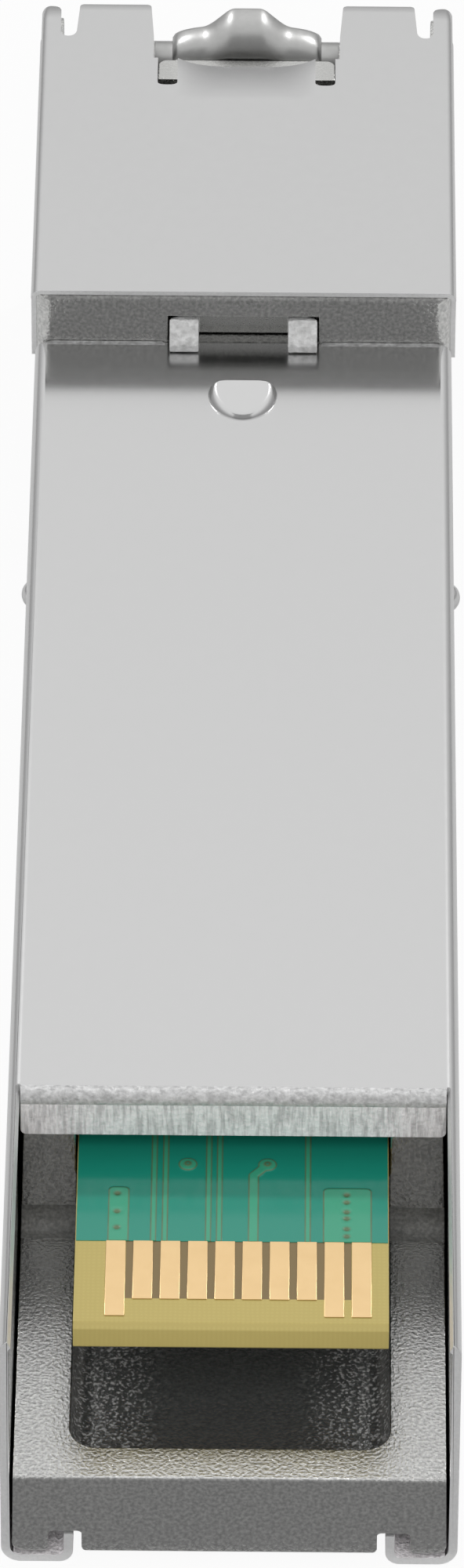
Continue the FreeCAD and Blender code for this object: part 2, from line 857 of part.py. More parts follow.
# Release handle: one casting of a U-shaped pull, the barrel that turns on the pin, and the cam lobe
handle_half = f"({cheek_inner} - handle_side_gap)"
arm_inner = f"({handle_half} - arm_thickness)"
bar_top = "(bar_clearance + bar_height)"
inner_corner = "(handle_corner - arm_thickness)"
handle_outline = [
    (f"-{handle_half}", "bar_clearance + handle_corner", "handle_corner", 1),
    (f"-{handle_half} + handle_corner", "bar_clearance"),
    (f"{handle_half} - handle_corner", "bar_clearance", "handle_corner", 1),
    (handle_half, "bar_clearance + handle_corner"),
    (handle_half, pivot_z),
    (arm_inner, pivot_z),
    (arm_inner, f"{bar_top} + {inner_corner}", inner_corner, -1),
    (f"{arm_inner} - {inner_corner}", bar_top),
    (f"-{arm_inner} + {inner_corner}", bar_top, inner_corner, -1),
    (f"-{arm_inner}", f"{bar_top} + {inner_corner}"),
    (f"-{arm_inner}", pivot_z),
    (f"-{handle_half}", pivot_z),
]
arm_back = f"({pivot_y} - arm_depth/2)"
arm_front = f"({pivot_y} + arm_depth/2)"
pull = profile("pull", "xz", handle_outline, arm_back, arm_front)


def is_pull_edge(edge):
    middle = edge.CenterOfMass
    on_a_face = near(middle.y, arm_back) or near(middle.y, arm_front)
    limits = edge.BoundBox
    outermost = max(limits.XMax, -limits.XMin)
    is_outer = near(outermost, handle_half) or near(limits.ZMin, "bar_clearance")
    return on_a_face and is_outer and middle.z < number(pivot_z) - CLOSE


pull_eased = rounded("pull_eased", pull, "arm_edge", is_pull_edge)
barrel = rod("barrel", "x", "barrel_radius", f"-{handle_half}", handle_half, (pivot_y, pivot_z))
bore = rod(
    "bore",
    "x",
    "pin_radius + pin_running_gap",
    f"-{handle_half} - {PAST}",
    f"{handle_half} + {PAST}",
    (pivot_y, pivot_z),
)


def cam_section(x, push):
    """The cam's outline in a plane across the barrel. Its distance from the axis, measured towards the
    slider, grows by push for each radian that the handle turns: the involute of a circle of that radius.
    A flat follower in front of it then moves evenly with the handle."""
    radius = number("barrel_radius")
    tip = number("cam_tip_radius")
    quarter = math.pi / 2
    axis = FreeCAD.Vector(x, number(pivot_y), number(pivot_z))

    def at(along, up):
        return axis + FreeCAD.Vector(0, along, up)

    def involute(angle):
        reach = radius + push * angle
        along = -reach * math.cos(angle) + push * math.sin(angle)
        up = reach * math.sin(angle) + push * math.cos(angle)
        return at(along, up)

    turns = [quarter * step / CAM_FLANK_STEPS for step in range(CAM_FLANK_STEPS + 1)]
    flank = Part.BSplineCurve()
    flank.interpolate([involute(turn) for turn in turns])
    top = radius + push * quarter
    crest = at(push, top)
    over = at(push + tip * math.sin(quarter / 2), top - tip * (1 - math.cos(quarter / 2)))
    brow = at(push + tip, top - tip)
    base = at(radius, 0)
    heel = at(-radius, 0)
    edges = [
        Part.LineSegment(heel, involute(0)),
        flank,
        Part.Arc(crest, over, brow),
        Part.LineSegment(brow, base),
        Part.LineSegment(base, heel),
    ]
    return Part.Wire([edge.toShape() for edge in edges])


# The lobe is full over the flat in its middle and falls away to the barrel on both sides
push_per_radian = number("slider_travel") / math.radians(number("handle_turn"))
falling = [
    (number("cam_flat_width") / 2, push_per_radian),
    (number("cam_shoulder_width") / 2, push_per_radian * CAM_SHOULDER_SHARE),
    (number("cam_base_width") / 2, push_per_radian * CAM_BASE_SHARE),
]
lobe_middle = Part.makeLoft([cam_section(side * falling[0][0], push_per_radian) for side in (-1, 1)], True)
lobe_sides = [
    Part.makeLoft([cam_section(side * x, push) for x, push in falling], True) for side in (-1, 1)
]
cam_lobe = doc.addObject("Part::Feature", "cam_lobe")
cam_lobe.Shape = lobe_middle.fuse(lobe_sides).removeSplitter()
finished("bail_handle", cut("handle", fuse("handle_blank", pull_eased, barrel, cam_lobe), bore))

finished("pivot_pin", rod("pin", "x", "pin_radius", f"-{cheek_outer}", cheek_outer, (pivot_y, pivot_z)))

# Slider: a flat actuator with two tines whose ends slope at 45 degrees, and a slot for its spring
slider_front = f"({pivot_y} - barrel_radius - cam_gap)"
slider_under = f"({PLATE} + slider_gap)"
slider_top = f"({slider_under} + slider_thickness)"
tine_inner = "(slider_narrow_width/2 - tine_width)"
tine_end = behind("tine_reach")
waist_front = f"({slider_front} - slider_ear)"
waist_back = f"({waist_front} - slider_waist_length)"
right_side = [
    (tine_inner, ahead("web_place")),
    (tine_inner, tine_end),
    ("slider_narrow_width/2", tine_end),
    ("slider_narrow_width/2", ahead("slider_neck")),
    ("slider_wide_width/2", ahead("slider_neck")),
    ("slider_wide_width/2", waist_back),
    ("slider_waist_width/2", waist_back),
    ("slider_waist_width/2", waist_front),
    ("slider_wide_width/2", waist_front),
    ("slider_wide_width/2", f"{slider_front} - slider_corner", "slider_corner", 1),
    ("slider_wide_width/2 - slider_corner", slider_front),
]
left_side = [
    ("-slider_wide_width/2 + slider_corner", slider_front, "slider_corner", 1),
    ("-slider_wide_width/2", f"{slider_front} - slider_corner"),
    ("-slider_wide_width/2", waist_front),
    ("-slider_waist_width/2", waist_front),
    ("-slider_waist_width/2", waist_back),
    ("-slider_wide_width/2", waist_back),
    ("-slider_wide_width/2", ahead("slider_neck")),
    ("-slider_narrow_width/2", ahead("slider_neck")),
    ("-slider_narrow_width/2", tine_end),
    (f"-{tine_inner}", tine_end),
    (f"-{tine_inner}", ahead("web_place")),
]
slider_plate = profile("slider_plate", "xy", right_side + left_side, slider_under, slider_top)
spring_slot_end = ahead("spring_slot_start + spring_slot_length")
spring_slot = box(
    "spring_slot",
    ("-spring_slot_width/2", "spring_slot_width/2"),
    (ahead("spring_slot_start"), spring_slot_end),
    (f"{slider_under} - {PAST}", f"{slider_top} + {PAST}"),
)
toe_top = f"({slider_under} + tine_toe)"
ramp = profile(
    "ramp",
    "yz",
    [
        (tine_end, toe_top),
        (f"{tine_end} + slider_thickness", f"{toe_top} + slider_thickness"),
        (tine_end, f"{toe_top} + slider_thickness"),
    ],
    "-slider_wide_width/2",
    "slider_wide_width/2",
)
finished("slider", cut("slider_cut", slider_plate, spring_slot, ramp))

# Return spring of the slider: a helix of round wire between the housing's post and the slot's front end
spring_start = f"({post_end} + spring_end_gap + spring_wire/2)"
spring_length = f"({spring_slot_end} - {post_end} - 2*spring_end_gap - spring_wire)"
spring_z = f"({slider_under} + slider_thickness/2)"
spring_line = doc.addObject("Part::Helix", "spring_line")
spring_line.Placement.Rotation = TURNS["y"]
bind(spring_line, "Radius", "spring_coil/2")
bind(spring_line, "Height", spring_length)
bind(spring_line, "Pitch", f"{spring_length}/spring_turns")
bind(spring_line, "Placement.Base.y", spring_start)
bind(spring_line, "Placement.Base.z", spring_z)
spring_section = doc.addObject("Part::RegularPolygon", "spring_section")
spring_section.Polygon = SPRING_WIRE_SIDES
bind(spring_section, "Circumradius", "spring_wire/2")
bind(spring_section, "Placement.Base.x", "spring_coil/2")
bind(spring_section, "Placement.Base.y", spring_start)
bind(spring_section, "Placement.Base.z", spring_z)
doc.recompute()
spring = doc.addObject("Part::Sweep", "spring")
spring.Sections = [spring_section]
spring.Spine = (spring_line, [f"Edge{index + 1}" for index in range(len(spring_line.Shape.Edges))])
spring.Solid = True
spring.Frenet = True
finished("slider_spring", spring)

# Optical receptacle: a moulded insert with two square ports, their latch slots and the barrel bores
insert_half = f"({cavity_half} - insert_gap)"
insert_front = f"({FRONT} - insert_gap)"
insert_body = box(
    "insert_body",
    (f"-{insert_half}", insert_half),
    (ahead("insert_back"), insert_front),
    ("nose_top_wall + insert_gap", f"{cavity_top} - insert_gap"),
)
port_cuts = []
for side, sign in (("left", "-"), ("right", "+")):
    middle = f"({sign}port_pitch/2)"
    port_cuts.append(
        box(
            f"port_{side}",
            (f"{middle} - port_size/2", f"{middle} + port_size/2"),
            (ahead("port_back"), f"{FRONT} + {PAST}"),
            ("port_height - port_size/2", "port_height + port_size/2"),
        )
    )
    port_cuts.append(
        box(
            f"latch_slot_{side}",
            (f"{middle} - latch_slot_width/2", f"{middle} + latch_slot_width/2"),
            (ahead("port_back"), f"{FRONT} + {PAST}"),
            ("port_height - port_size/2 - latch_slot_height", "port_height"),
        )
    )
    port_cuts.append(
        rod(
            f"barrel_bore_{side}",
            "y",
            "nose_barrel_radius + saddle_gap",
            f"{ahead('insert_back')} - {PAST}",
            f"{ahead('port_back')} + {PAST}",
            (middle, "port_height"),
        )
    )
finished("lc_receptacle", cut("insert", insert_body, *port_cuts))

# Optical subassemblies: turned barrels with a sealed can, and the ceramic sleeves that take the ferrules
sleeve_socket = "(sleeve_outer_radius + sleeve_gap)"
sleeve_front = ahead("barrel_reach - header_thickness")
sleeve_back = ahead("barrel_reach - header_thickness - sleeve_length")
flange_front = ahead("insert_back")
flange_back = ahead("insert_back - can_flange")
neck_back = ahead("insert_back - can_flange - can_neck_length")
subassembly_outline = [
    (ahead("barrel_reach"), sleeve_socket),
    (sleeve_back, sleeve_socket),
    (sleeve_back, "0"),
    (behind("can_back + header_thickness"), "0"),
    (behind("can_back + header_thickness"), "header_radius"),
    (behind("can_back"), "header_radius"),
    (behind("can_back"), "can_radius"),
    (neck_back, "can_radius"),
    (neck_back, "can_neck_radius"),
    (flange_back, "can_neck_radius"),
    (flange_back, "can_radius"),
    (flange_front, "can_radius"),
    (flange_front, "nose_barrel_radius"),
    (ahead("barrel_reach"), "nose_barrel_radius"),
]
sleeve_outline = [
    (sleeve_back, "sleeve_bore_radius"),
    (sleeve_front, "sleeve_bore_radius"),
    (sleeve_front, "sleeve_outer_radius"),
    (sleeve_back, "sleeve_outer_radius"),
]
sleeves = []
for node, sign in (("receiver", "+"), ("transmitter", "-")):
    middle = f"({sign}port_pitch/2)"
    finished(f"{node}_subassembly", turned(f"{node}_turned", subassembly_outline, middle, "port_height"))
    sleeves.append(turned(f"{node}_sleeve", sleeve_outline, middle, "port_height"))
finished("alignment_sleeves", group("sleeves", sleeves))

# Clamp: a bridge over the two barrels, which holds them down in the housing's saddle
clamp_half = f"({room_half} - clamp_side_gap)"
clamp_block = box(
    "clamp_block", (f"-{clamp_half}", clamp_half), saddle_span, ("port_height", "port_height + clamp_rise")
)
finished("subassembly_clamp", cut("clamp", clamp_block, *saddle_bores))

# Circuit board with its chamfered edge-connector end
board_end = behind("board_reach")
board_front = behind("board_front")
board_outline = [
    (board_end, f"{board_under} + board_chamfer"),
    (f"{board_end} + board_chamfer", board_under),
    (board_front, board_under),
    (board_front, board_top),
    (f"{board_end} + board_chamfer", board_top),
    (board_end, f"{board_top} - board_chamfer"),
]
finished("circuit_board", profile("board", "yz", board_outline, "-board_width/2", "board_width/2"))


def contact_row(name, shift, low, high):
    """Ten edge contacts side by side, of which the ground contacts reach further to the edge."""
    pads = []
    for index in range(PADS):
        middle = f"({shift} + ({index} - {(PADS - 1) / 2})*pad_pitch)"
        inset = "pad_inset_long" if index in PADS_LONG else "pad_inset_short"
        pads.append(
            box(
                f"{name}_{index + 1}",
                (f"{middle} - pad_width/2", f"{middle} + pad_width/2"),
                (f"{board_end} + {inset}", f"{board_end} + pad_start"),
                (low, high),
            )
        )
    return group(name, pads)


lower_pads = contact_row("lower_pads", "pad_shift", board_top, f"{board_top} + pad_thickness")
upper_pads = contact_row("upper_pads", "-pad_shift", f"{board_under} - pad_thickness", board_under)
finished("contact_pads_lower", lower_pads)
finished("contact_pads_upper", upper_pads)

# Flexible circuits: from the back of each can, bent over on to the board
flex_back = behind("can_back + header_thickness")
flex_top = f"({board_top} + flex_sheet)"
flex_path = [
    (f"{flex_back}", f"{flex_top} - flex_drop"),
    (f"{flex_back}", flex_top),
    (behind("board_front + flex_overlap"), flex_top),
]
for node, sign in (("receiver", "+"), ("transmitter", "-")):
    middle = f"({sign}port_pitch/2)"
    flex = profile(
        f"{node}_strip",
        "yz",
        folded(flex_path, "flex_sheet", "flex_bend"),
        f"{middle} - flex_width/2",
        f"{middle} + flex_width/2",
    )
    finished(f"{node}_flex", flex)


def on_board(name, middle, place, width, length, height):
    """A component on the board's upper face, centred at a place behind the step."""
    return box(
        name,
        (f"{middle} - ({width})/2", f"{middle} + ({width})/2"),
        (behind(f"{place} + ({length})/2"), behind(f"{place} - ({length})/2")),
        (board_top, f"{board_top} + {height}"),
    )


# Chips, inductors and capacitors soldered on the board, and the thermal pad on the laser driver
driver = on_board("driver", "-driver_offset", "driver_place", "driver_size", "driver_size", "chip_height")
finished("laser_driver_chip", driver)
amplifier_sides = ("amplifier_size", "amplifier_size")
amplifier = on_board("amplifier", "amplifier_offset", "driver_place", *amplifier_sides, "chip_height")
finished("amplifier_chip", amplifier)
controller_sides = ("controller_size", "controller_size")
controller = on_board("controller", "0", "controller_place", *controller_sides, "chip_height")
finished("controller_chip", controller)
memory = on_board("memory", "memory_offset", "memory_place", "memory_width", "memory_length", "chip_height")
finished("memory_chip", memory)


def row_on_board(name, count, pitch, *sizes):
    """A row of like components across the board, centred on its middle line."""
    middles = [f"({index} - {(count - 1) / 2})*{pitch}" for index in range(count)]
    return group(name, [on_board(f"{name}_{index}", x, *sizes) for index, x in enumerate(middles, start=1)])


inductor = ("inductor_place", "inductor_size", "inductor_size", "inductor_height")
finished("power_inductors", row_on_board("inductors", INDUCTORS, "inductor_pitch", *inductor))
capacitor = ("capacitor_place", "capacitor_width", "capacitor_length", "capacitor_width")
finished("decoupling_capacitors", row_on_board("capacitors", CAPACITORS, "capacitor_pitch", *capacitor))
pad_half = "driver_size/2"
finished(
    "thermal_pad",
    box(
        "gap_pad",
        (f"-driver_offset - {pad_half}", f"-driver_offset + {pad_half}"),
        (behind(f"driver_place + {pad_half}"), behind(f"driver_place - {pad_half}")),
        (f"{board_top} + chip_height", casting_top),
    ),
)

doc.recompute()
for thing in doc.Objects:
    if "Invalid" in thing.State or "Error" in thing.State:
        raise RuntimeError(f"{thing.Name} failed: {thing.State}")
for node, solid in nodes.items():
    if solid.Shape.isNull() or not solid.Shape.isValid():
        raise RuntimeError(f"{node} has no valid shape")

os.makedirs("parts", exist_ok=True)
for node, solid in nodes.items():
    solid.Shape.exportStep(f"parts/{node}.step")
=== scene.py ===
import math

import bmesh
import bpy
import numpy as np
from mathutils import Matrix, Vector


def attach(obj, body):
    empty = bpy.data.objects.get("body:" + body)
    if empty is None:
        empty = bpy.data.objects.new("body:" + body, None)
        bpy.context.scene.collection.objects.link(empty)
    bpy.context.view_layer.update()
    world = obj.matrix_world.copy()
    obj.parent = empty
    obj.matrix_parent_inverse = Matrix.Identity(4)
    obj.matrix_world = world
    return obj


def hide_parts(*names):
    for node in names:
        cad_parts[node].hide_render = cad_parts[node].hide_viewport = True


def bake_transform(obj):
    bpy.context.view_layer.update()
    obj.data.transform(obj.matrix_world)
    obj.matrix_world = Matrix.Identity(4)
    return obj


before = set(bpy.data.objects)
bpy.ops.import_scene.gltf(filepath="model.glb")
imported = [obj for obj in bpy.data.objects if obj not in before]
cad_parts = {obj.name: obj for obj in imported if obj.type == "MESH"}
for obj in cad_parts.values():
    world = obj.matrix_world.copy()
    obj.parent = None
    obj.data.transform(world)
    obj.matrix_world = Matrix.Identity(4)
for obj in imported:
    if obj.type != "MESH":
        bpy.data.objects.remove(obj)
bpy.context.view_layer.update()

# Housing: one zinc die casting with a nickel plating. Its trough carries the board and the optics, its rear
# shoulder leads the edge connector in, and its nose with two cheeks carries the slider and the handle.
MM = 0.001
SHARP_TURN = math.radians(30)
SAME_POINT = 1e-4
SAME_PLANE = math.radians(0.5)
CAST_EDGE = 0.05
CHEEK_ROOT_Y = 29.45
CHEEK_ROOT_Z = 10.0
CHEEK_ROOT_REACH = 0.3
RAIL_FRONT_Y = -14.6
RAIL_FRONT_REACH = 0.1
SIDE_X = 6.2
SIDE_END_Y = 15.9
SIDE_SWELL = 0.06
GRAIN_SIZE = 0.11
GRAIN_DEPTH = 0.022
GRAIN_DARK = 0.35
GRAIN_LIGHT = 0.65
CAST_SHINY = 0.16
CAST_MATT = 0.3
COVE = ((-6.7, -21.3, 3.2), (6.7, -20.5, 4.0))
COVE_MATT = 0.45
POCKET = ((-4.7, -31.5, 1.5), (4.7, -14.0, 3.1))
POCKET_DARK_X = 1.9
POCKET_LIGHT_X = 3.4
POCKET_BARE = 0.12
BRIGHT_FROM = 0.52
BRIGHT_TO = 0.66
BRIGHT_BARE = 0.6


def cad_copy(node):
    """The corners, in millimetres, and the triangles of a CAD node's mesh."""
    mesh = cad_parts[node].data
    points = np.empty(len(mesh.vertices) * 3)
    mesh.vertices.foreach_get("co", points)
    corners = np.empty(len(mesh.loops), int)
    mesh.loops.foreach_get("vertex_index", corners)
    return points.reshape(-1, 3) / MM, corners.reshape(-1, 3)


def placed(name, data):
    """An object of some data, put into the scene."""
    made = bpy.data.objects.new(name, data)
    bpy.context.scene.collection.objects.link(made)
    return made


def piece(
    name,
    shape,
    body,
    materials,
    node=None,
    rounding=0.0,
    sharp=None,
    worked=False,
    finishes=None,
    marks=None,
    stretch=None,
):
    """A piece from (corners in millimetres, faces). Corners that lie together become one, flat faces in one
    plane become one, and edges that turn sharply are rolled over with an arc of the rounding, apart from
    those that sharp picks by their middle. A worked shape, not a CAD copy, has its faces turned outwards.
    One with marks, values for its corners that its material reads, keeps all its faces. One with a stretch is
    left unattached where it stands; what the stretch holds, a second body and two places in metres, is not
    read."""
    points, faces = shape
    raw = bpy.data.meshes.new(name)
    raw.from_pydata(points, [], faces)
    for material in materials:
        raw.materials.append(material)
    if finishes is not None:
        raw.polygons.foreach_set("material_index", finishes)
    for key, values in (marks or {}).items():
        raw.attributes.new(key, "FLOAT", "POINT").data.foreach_set("value", values)
    form = bmesh.new()
    form.from_mesh(raw)
    bmesh.ops.remove_doubles(form, verts=form.verts, dist=SAME_POINT)
    if worked:
        bmesh.ops.recalc_face_normals(form, faces=form.faces)
    if not marks:
        bmesh.ops.dissolve_limit(
            form, angle_limit=SAME_PLANE, verts=form.verts, edges=form.edges, delimit={"NORMAL", "MATERIAL"}
        )
    if rounding:
        turned = [edge for edge in form.edges if edge.calc_face_angle(0) > SHARP_TURN]
        rolled = [edge for edge in turned if not (sharp and sharp((edge.verts[0].co + edge.verts[1].co) / 2))]
        bmesh.ops.bevel(
            form, geom=rolled, offset=rounding, segments=2, profile=0.5, affect="EDGES", material=-1
        )
    for edge in form.edges:
        edge.smooth = edge.calc_face_angle(0) < SHARP_TURN
    bmesh.ops.scale(form, vec=(MM, MM, MM), verts=form.verts)
    form.to_mesh(raw)
    form.free()
    raw.shade_smooth()
    made = placed(name, raw)
    made.modifiers.new("even shading", "WEIGHTED_NORMAL").keep_sharp = True
    if stretch:
        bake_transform(made)
    else:
        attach(made, body)
    if node:
        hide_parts(node)
    return made


def linear(text):
    """An sRGB hex value as a linear colour."""
    levels = np.array([int(text[place : place + 2], 16) for place in (1, 3, 5)]) / 255
    values = np.where(levels <= 0.04045, levels / 12.92, ((levels + 0.055) / 1.055) ** 2.4)
    return (*values.tolist(), 1.0)


def add(tree, kind, inputs=None, **settings):
    """A shader node of a kind with its settings. Each input, by name or number, gets a value or a link,
    which comes from the socket that is given or from the first one of a node."""
    made = tree.nodes.new("ShaderNode" + kind)
    for key, value in settings.items():
        setattr(made, key, value)
    for key, value in (inputs or {}).items():
        socket = value.outputs[0] if isinstance(value, bpy.types.Node) else value
        if isinstance(socket, bpy.types.NodeSocket):
            tree.links.new(socket, made.inputs[key])
        else:
            made.inputs[key].default_value = value
    return made


def begin(name):
    """An empty material, its node tree, and Object coordinates in millimetres."""
    material = bpy.data.materials.new(name)
    material.use_nodes = True
    tree = material.node_tree
    tree.nodes.clear()
    place = add(tree, "TexCoord").outputs["Object"]
    scaled = add(tree, "VectorMath", {0: place, "Scale": 1 / MM}, operation="SCALE")
    return material, tree, scaled


def close(material, tree, inputs):
    """Ends a material with its shader."""
    shader = add(tree, "BsdfPrincipled", inputs)
    add(tree, "OutputMaterial", {"Surface": shader})
    return material


def within(tree, place, low, high):
    """1 inside a box between two corners in millimetres, 0 outside it."""
    inside = 1.0
    for axis, least, most in zip(add(tree, "SeparateXYZ", {0: place}).outputs, low, high):
        span = {0: axis, 1: (least + most) / 2, 2: (most - least) / 2}
        near = add(tree, "Math", span, operation="COMPARE")
        inside = add(tree, "Math", {0: near, 1: inside}, operation="MULTIPLY")
    return inside


# Nickel-plated zinc, die cast: a bright grey plating over a pebbled skin that sparkles. In the pocket,
# which the plating hardly reaches, it is dull and dark, and the cove at the shoulder's root is dull too.
# Towards the pocket's sides its grains lose more of their metal shine, so that the fill lamp lights them: a
# painted highlight that stands in for light on curved side walls. The grain is drawn somewhat coarser than it
# is, so that it shows.
zinc, tree, place = begin("nickel_plated_zinc")
grain = add(tree, "TexNoise", {"Vector": place, "Scale": 1 / GRAIN_SIZE, "Detail": 3.0})
pebbled = add(tree, "Bump", {"Height": grain, "Distance": GRAIN_DEPTH * MM})
mottle = add(tree, "MapRange", {"Value": grain, "From Min": GRAIN_DARK, "From Max": GRAIN_LIGHT})
tone = add(tree, "Mix", {0: mottle, 6: linear("#b4b4b3"), 7: linear("#dadad8")}, data_type="RGBA")
shine = add(tree, "MapRange", {"Value": grain, "To Min": CAST_SHINY, "To Max": CAST_MATT})
gloss = add(tree, "Math", {0: within(tree, place, *COVE), 1: COVE_MATT, 2: shine}, operation="MULTIPLY_ADD")
off_centre = add(tree, "Math", {0: add(tree, "SeparateXYZ", {0: place})}, operation="ABSOLUTE")
# Painted highlight: grains towards the pocket's sides are made less metallic, so that the fill lamp brightens
# them
painted_glint_sides = {"Value": off_centre, "From Min": POCKET_DARK_X, "From Max": POCKET_LIGHT_X}
bright = {"Value": grain, "From Min": BRIGHT_FROM, "From Max": BRIGHT_TO, "To Max": BRIGHT_BARE}
bright_grain = add(tree, "MapRange", bright)
speckle = add(
    tree,
    "Math",
    {0: add(tree, "MapRange", painted_glint_sides), 1: bright_grain, 2: POCKET_BARE},
    operation="MULTIPLY_ADD",
)
dull = add(tree, "Math", {0: within(tree, place, *POCKET), 1: speckle}, operation="MULTIPLY")
plated = add(tree, "Math", {0: 1.0, 1: dull}, operation="SUBTRACT")
close(
    zinc,
    tree,
    {
        "Base Color": tone.outputs[2],
        "Metallic": plated,
        "Roughness": gloss,
        "Normal": pebbled,
    },
)


def off_the_skin(middle):
    """Where an edge of the housing runs out under the nose cover or in the trough, and stays sharp."""
    at_cheek = abs(middle.y - CHEEK_ROOT_Y) < CHEEK_ROOT_REACH and middle.z > CHEEK_ROOT_Z
    return at_cheek or abs(middle.y - RAIL_FRONT_Y) < RAIL_FRONT_REACH


casting, casting_faces = cad_copy("base_housing")
at_side = (np.abs(casting[:, 0]) > SIDE_X) & (casting[:, 1] < SIDE_END_Y)
casting[at_side, 0] += SIDE_SWELL * np.sign(casting[at_side, 0])
piece(
    "casting",
    (casting, casting_faces),
    "housing",
    [zinc],
    "base_housing",
    CAST_EDGE,
    off_the_skin,
)

# Port insert: a black moulded frame with the two optical ports, pushed into the nose from behind. The latch
# windows and the steps inside the ports come from its mould.
PORT_EDGE = 0.06


def mottled(name, size, colours, roughness, relief, metallic=0.0):
    """A finish whose colour, roughness and relief follow one noise of a size in millimetres."""
    material, tree, place = begin(name)
    noise = add(tree, "TexNoise", {"Vector": place, "Scale": 1 / size, "Detail": 3.0})
    tone = add(tree, "Mix", {0: noise, 6: linear(colours[0]), 7: linear(colours[1])}, data_type="RGBA")
    gloss = add(tree, "MapRange", {"Value": noise, "To Min": roughness[0], "To Max": roughness[1]})
    bump = add(tree, "Bump", {"Height": noise, "Distance": relief * MM})
    return close(
        material,
        tree,
        {
            "Base Color": tone.outputs[2],
            "Metallic": metallic,
            "Roughness": gloss,
            "Normal": bump,
        },
    )


# Glass-filled polymer, moulded: near black, with the fine spark-eroded texture of the mould
moulding = mottled("glass_filled_polymer", 0.06, ("#17181a", "#222326"), (0.38, 0.55), 0.006)
piece(
    "port_insert",
    cad_copy("lc_receptacle"),
    "housing",
    [moulding],
    "lc_receptacle",
    PORT_EDGE,
)

# Optical barrels: two turned steel housings with a laser and a detector can on their ends, each with a slit
# ceramic sleeve that a connector's ferrule enters. A cast bridge holds both down.
TOOL_PITCH = 0.05
TOOL_DEPTH = 0.003
CLAMP_EDGE = 0.05
# Turned stainless steel: bright rings that run round the axis, as the tool's feed leaves them
turned_steel, tree, place = begin("turned_stainless_steel")
along_axis = add(tree, "Mapping", {"Vector": place, "Scale": (0.0, 1.0, 0.0)})
feed = add(tree, "TexNoise", {"Vector": along_axis, "Scale": 1 / TOOL_PITCH, "Detail": 2.0})
rings = add(tree, "Bump", {"Height": feed, "Distance": TOOL_DEPTH * MM})
close(
    turned_steel,
    tree,
    {"Base Color": linear("#c9c8c5"), "Metallic": 1.0, "Roughness": 0.22, "Normal": rings},
)
# Zirconia, ground: a glossy cream white with faint clouds
zirconia = mottled("ground_zirconia", 0.4, ("#e9e6dc", "#f6f4ee"), (0.16, 0.22), 0.001)
for node, name, slot, material in (
    ("receiver_subassembly", "receiver_barrel", "turned_steel", turned_steel),
    ("transmitter_subassembly", "transmitter_barrel", "turned_steel", turned_steel),
    ("alignment_sleeves", "ferrule_sleeves", "zirconia", zirconia),
):
    piece(name, cad_copy(node), "housing", [material], node)
piece(
    "barrel_clamp",
    cad_copy("subassembly_clamp"),
    "housing",
    [zinc],
    "subassembly_clamp",
    CLAMP_EDGE,
)

# Circuit board: a 1 mm glass-epoxy laminate whose rear end is the edge connector, with a milled lead-in. It
# is slid into the trough, and the flexible circuits of the barrels are soldered to its front end.
LAMINATE_EDGE = 0.03
WEAVE_PITCH = 0.45
WEAVE_WAVER = 1.5
BOARD_TOP_Z = 6.2
BOARD_LOW_Z = 5.2
FACE_DEPTH = 0.02
UNDER_CONTACTS = ((-3.1, -27.2, BOARD_TOP_Z - FACE_DEPTH), (3.5, -24.0, BOARD_TOP_Z + FACE_DEPTH))
OTHER_FACE = ((-5, -29, BOARD_LOW_Z - FACE_DEPTH), (5, 10, BOARD_LOW_Z + FACE_DEPTH))
# Glass-epoxy laminate: straw yellow with a faint weave of the glass cloth, and brown between the contacts,
# where an inner copper layer lies under it. Its other face is lacquered dark green.
laminate, tree, place = begin("glass_epoxy_laminate")
thread = {"Vector": place, "Scale": 1 / WEAVE_PITCH, "Distortion": WEAVE_WAVER}
warp = add(tree, "TexWave", thread)
weft = add(tree, "TexWave", thread, bands_direction="Y")
weave = add(tree, "Math", {0: warp.outputs[1], 1: weft.outputs[1]}, operation="MULTIPLY")
cut = add(tree, "Mix", {0: weave, 6: linear("#c0ae66"), 7: linear("#c4b36b")}, data_type="RGBA")
brown = within(tree, place, *UNDER_CONTACTS)
face = add(tree, "Mix", {0: brown, 6: cut.outputs[2], 7: linear("#7f6c46")}, data_type="RGBA")
green = within(tree, place, *OTHER_FACE)
resin = add(tree, "Mix", {0: green, 6: face.outputs[2], 7: linear("#123d33")}, data_type="RGBA")
close(laminate, tree, {"Base Color": resin.outputs[2], "Roughness": 0.45})
piece(
    "board_laminate",
    cad_copy("circuit_board"),
    "housing",
    [laminate],
    "circuit_board",
    LAMINATE_EDGE,
)

# Edge contacts: ten copper pads on each face of the board's end, plated with nickel and hard gold. The
# power and ground pads reach further back than the others, so that they touch first.
CONTACT_EDGE = 0.015
# Hard gold, plated: a satin warm yellow with faint clouds
gold = mottled("hard_gold_plating", 0.5, ("#e5c491", "#ebcc9b"), (0.3, 0.36), 0.0, 1.0)
for node, name in (("contact_pads_lower", "lower_contacts"), ("contact_pads_upper", "upper_contacts")):
    piece(name, cad_copy(node), "housing", [gold], node, CONTACT_EDGE)

# Solder mask: a green lacquer film printed over the copper of the board's face. It follows the traces, the
# two grounded areas and the filled vias as low ridges, and stops where the contacts begin.
MASK_FILM = 0.02
MASK_SINK = 0.01
MASK_EDGE_Y = -24.69
MASK_DETAIL_Y = -20.0
MASK_FRONT_Y = 9.9
MASK_X = 4.57
MASK_STEP = 0.035
COPPER_HEIGHT = 0.025
COPPER_SOFT = 0.05
TRACE_HALF = 0.075
WIDE_TRACE_HALF = 0.14
TRACE_X = (-2.316, -1.98, -0.706, -0.386, 2.216)
BENT_TRACE = ((0.618, MASK_EDGE_Y), (0.618, -21.75), (1.02, -21.27))
POUR_TOP_Y = -22.32
POURS = ((-3.64, -3.05), (2.68, 4.08))
POUR_CORNER = 0.15
PAD_VIAS = ((-1.33, -21.27), (1.02, -21.27))
VIA_PAD = 0.26
VIA_DOME = 0.11
VIA_HOLE = 0.1
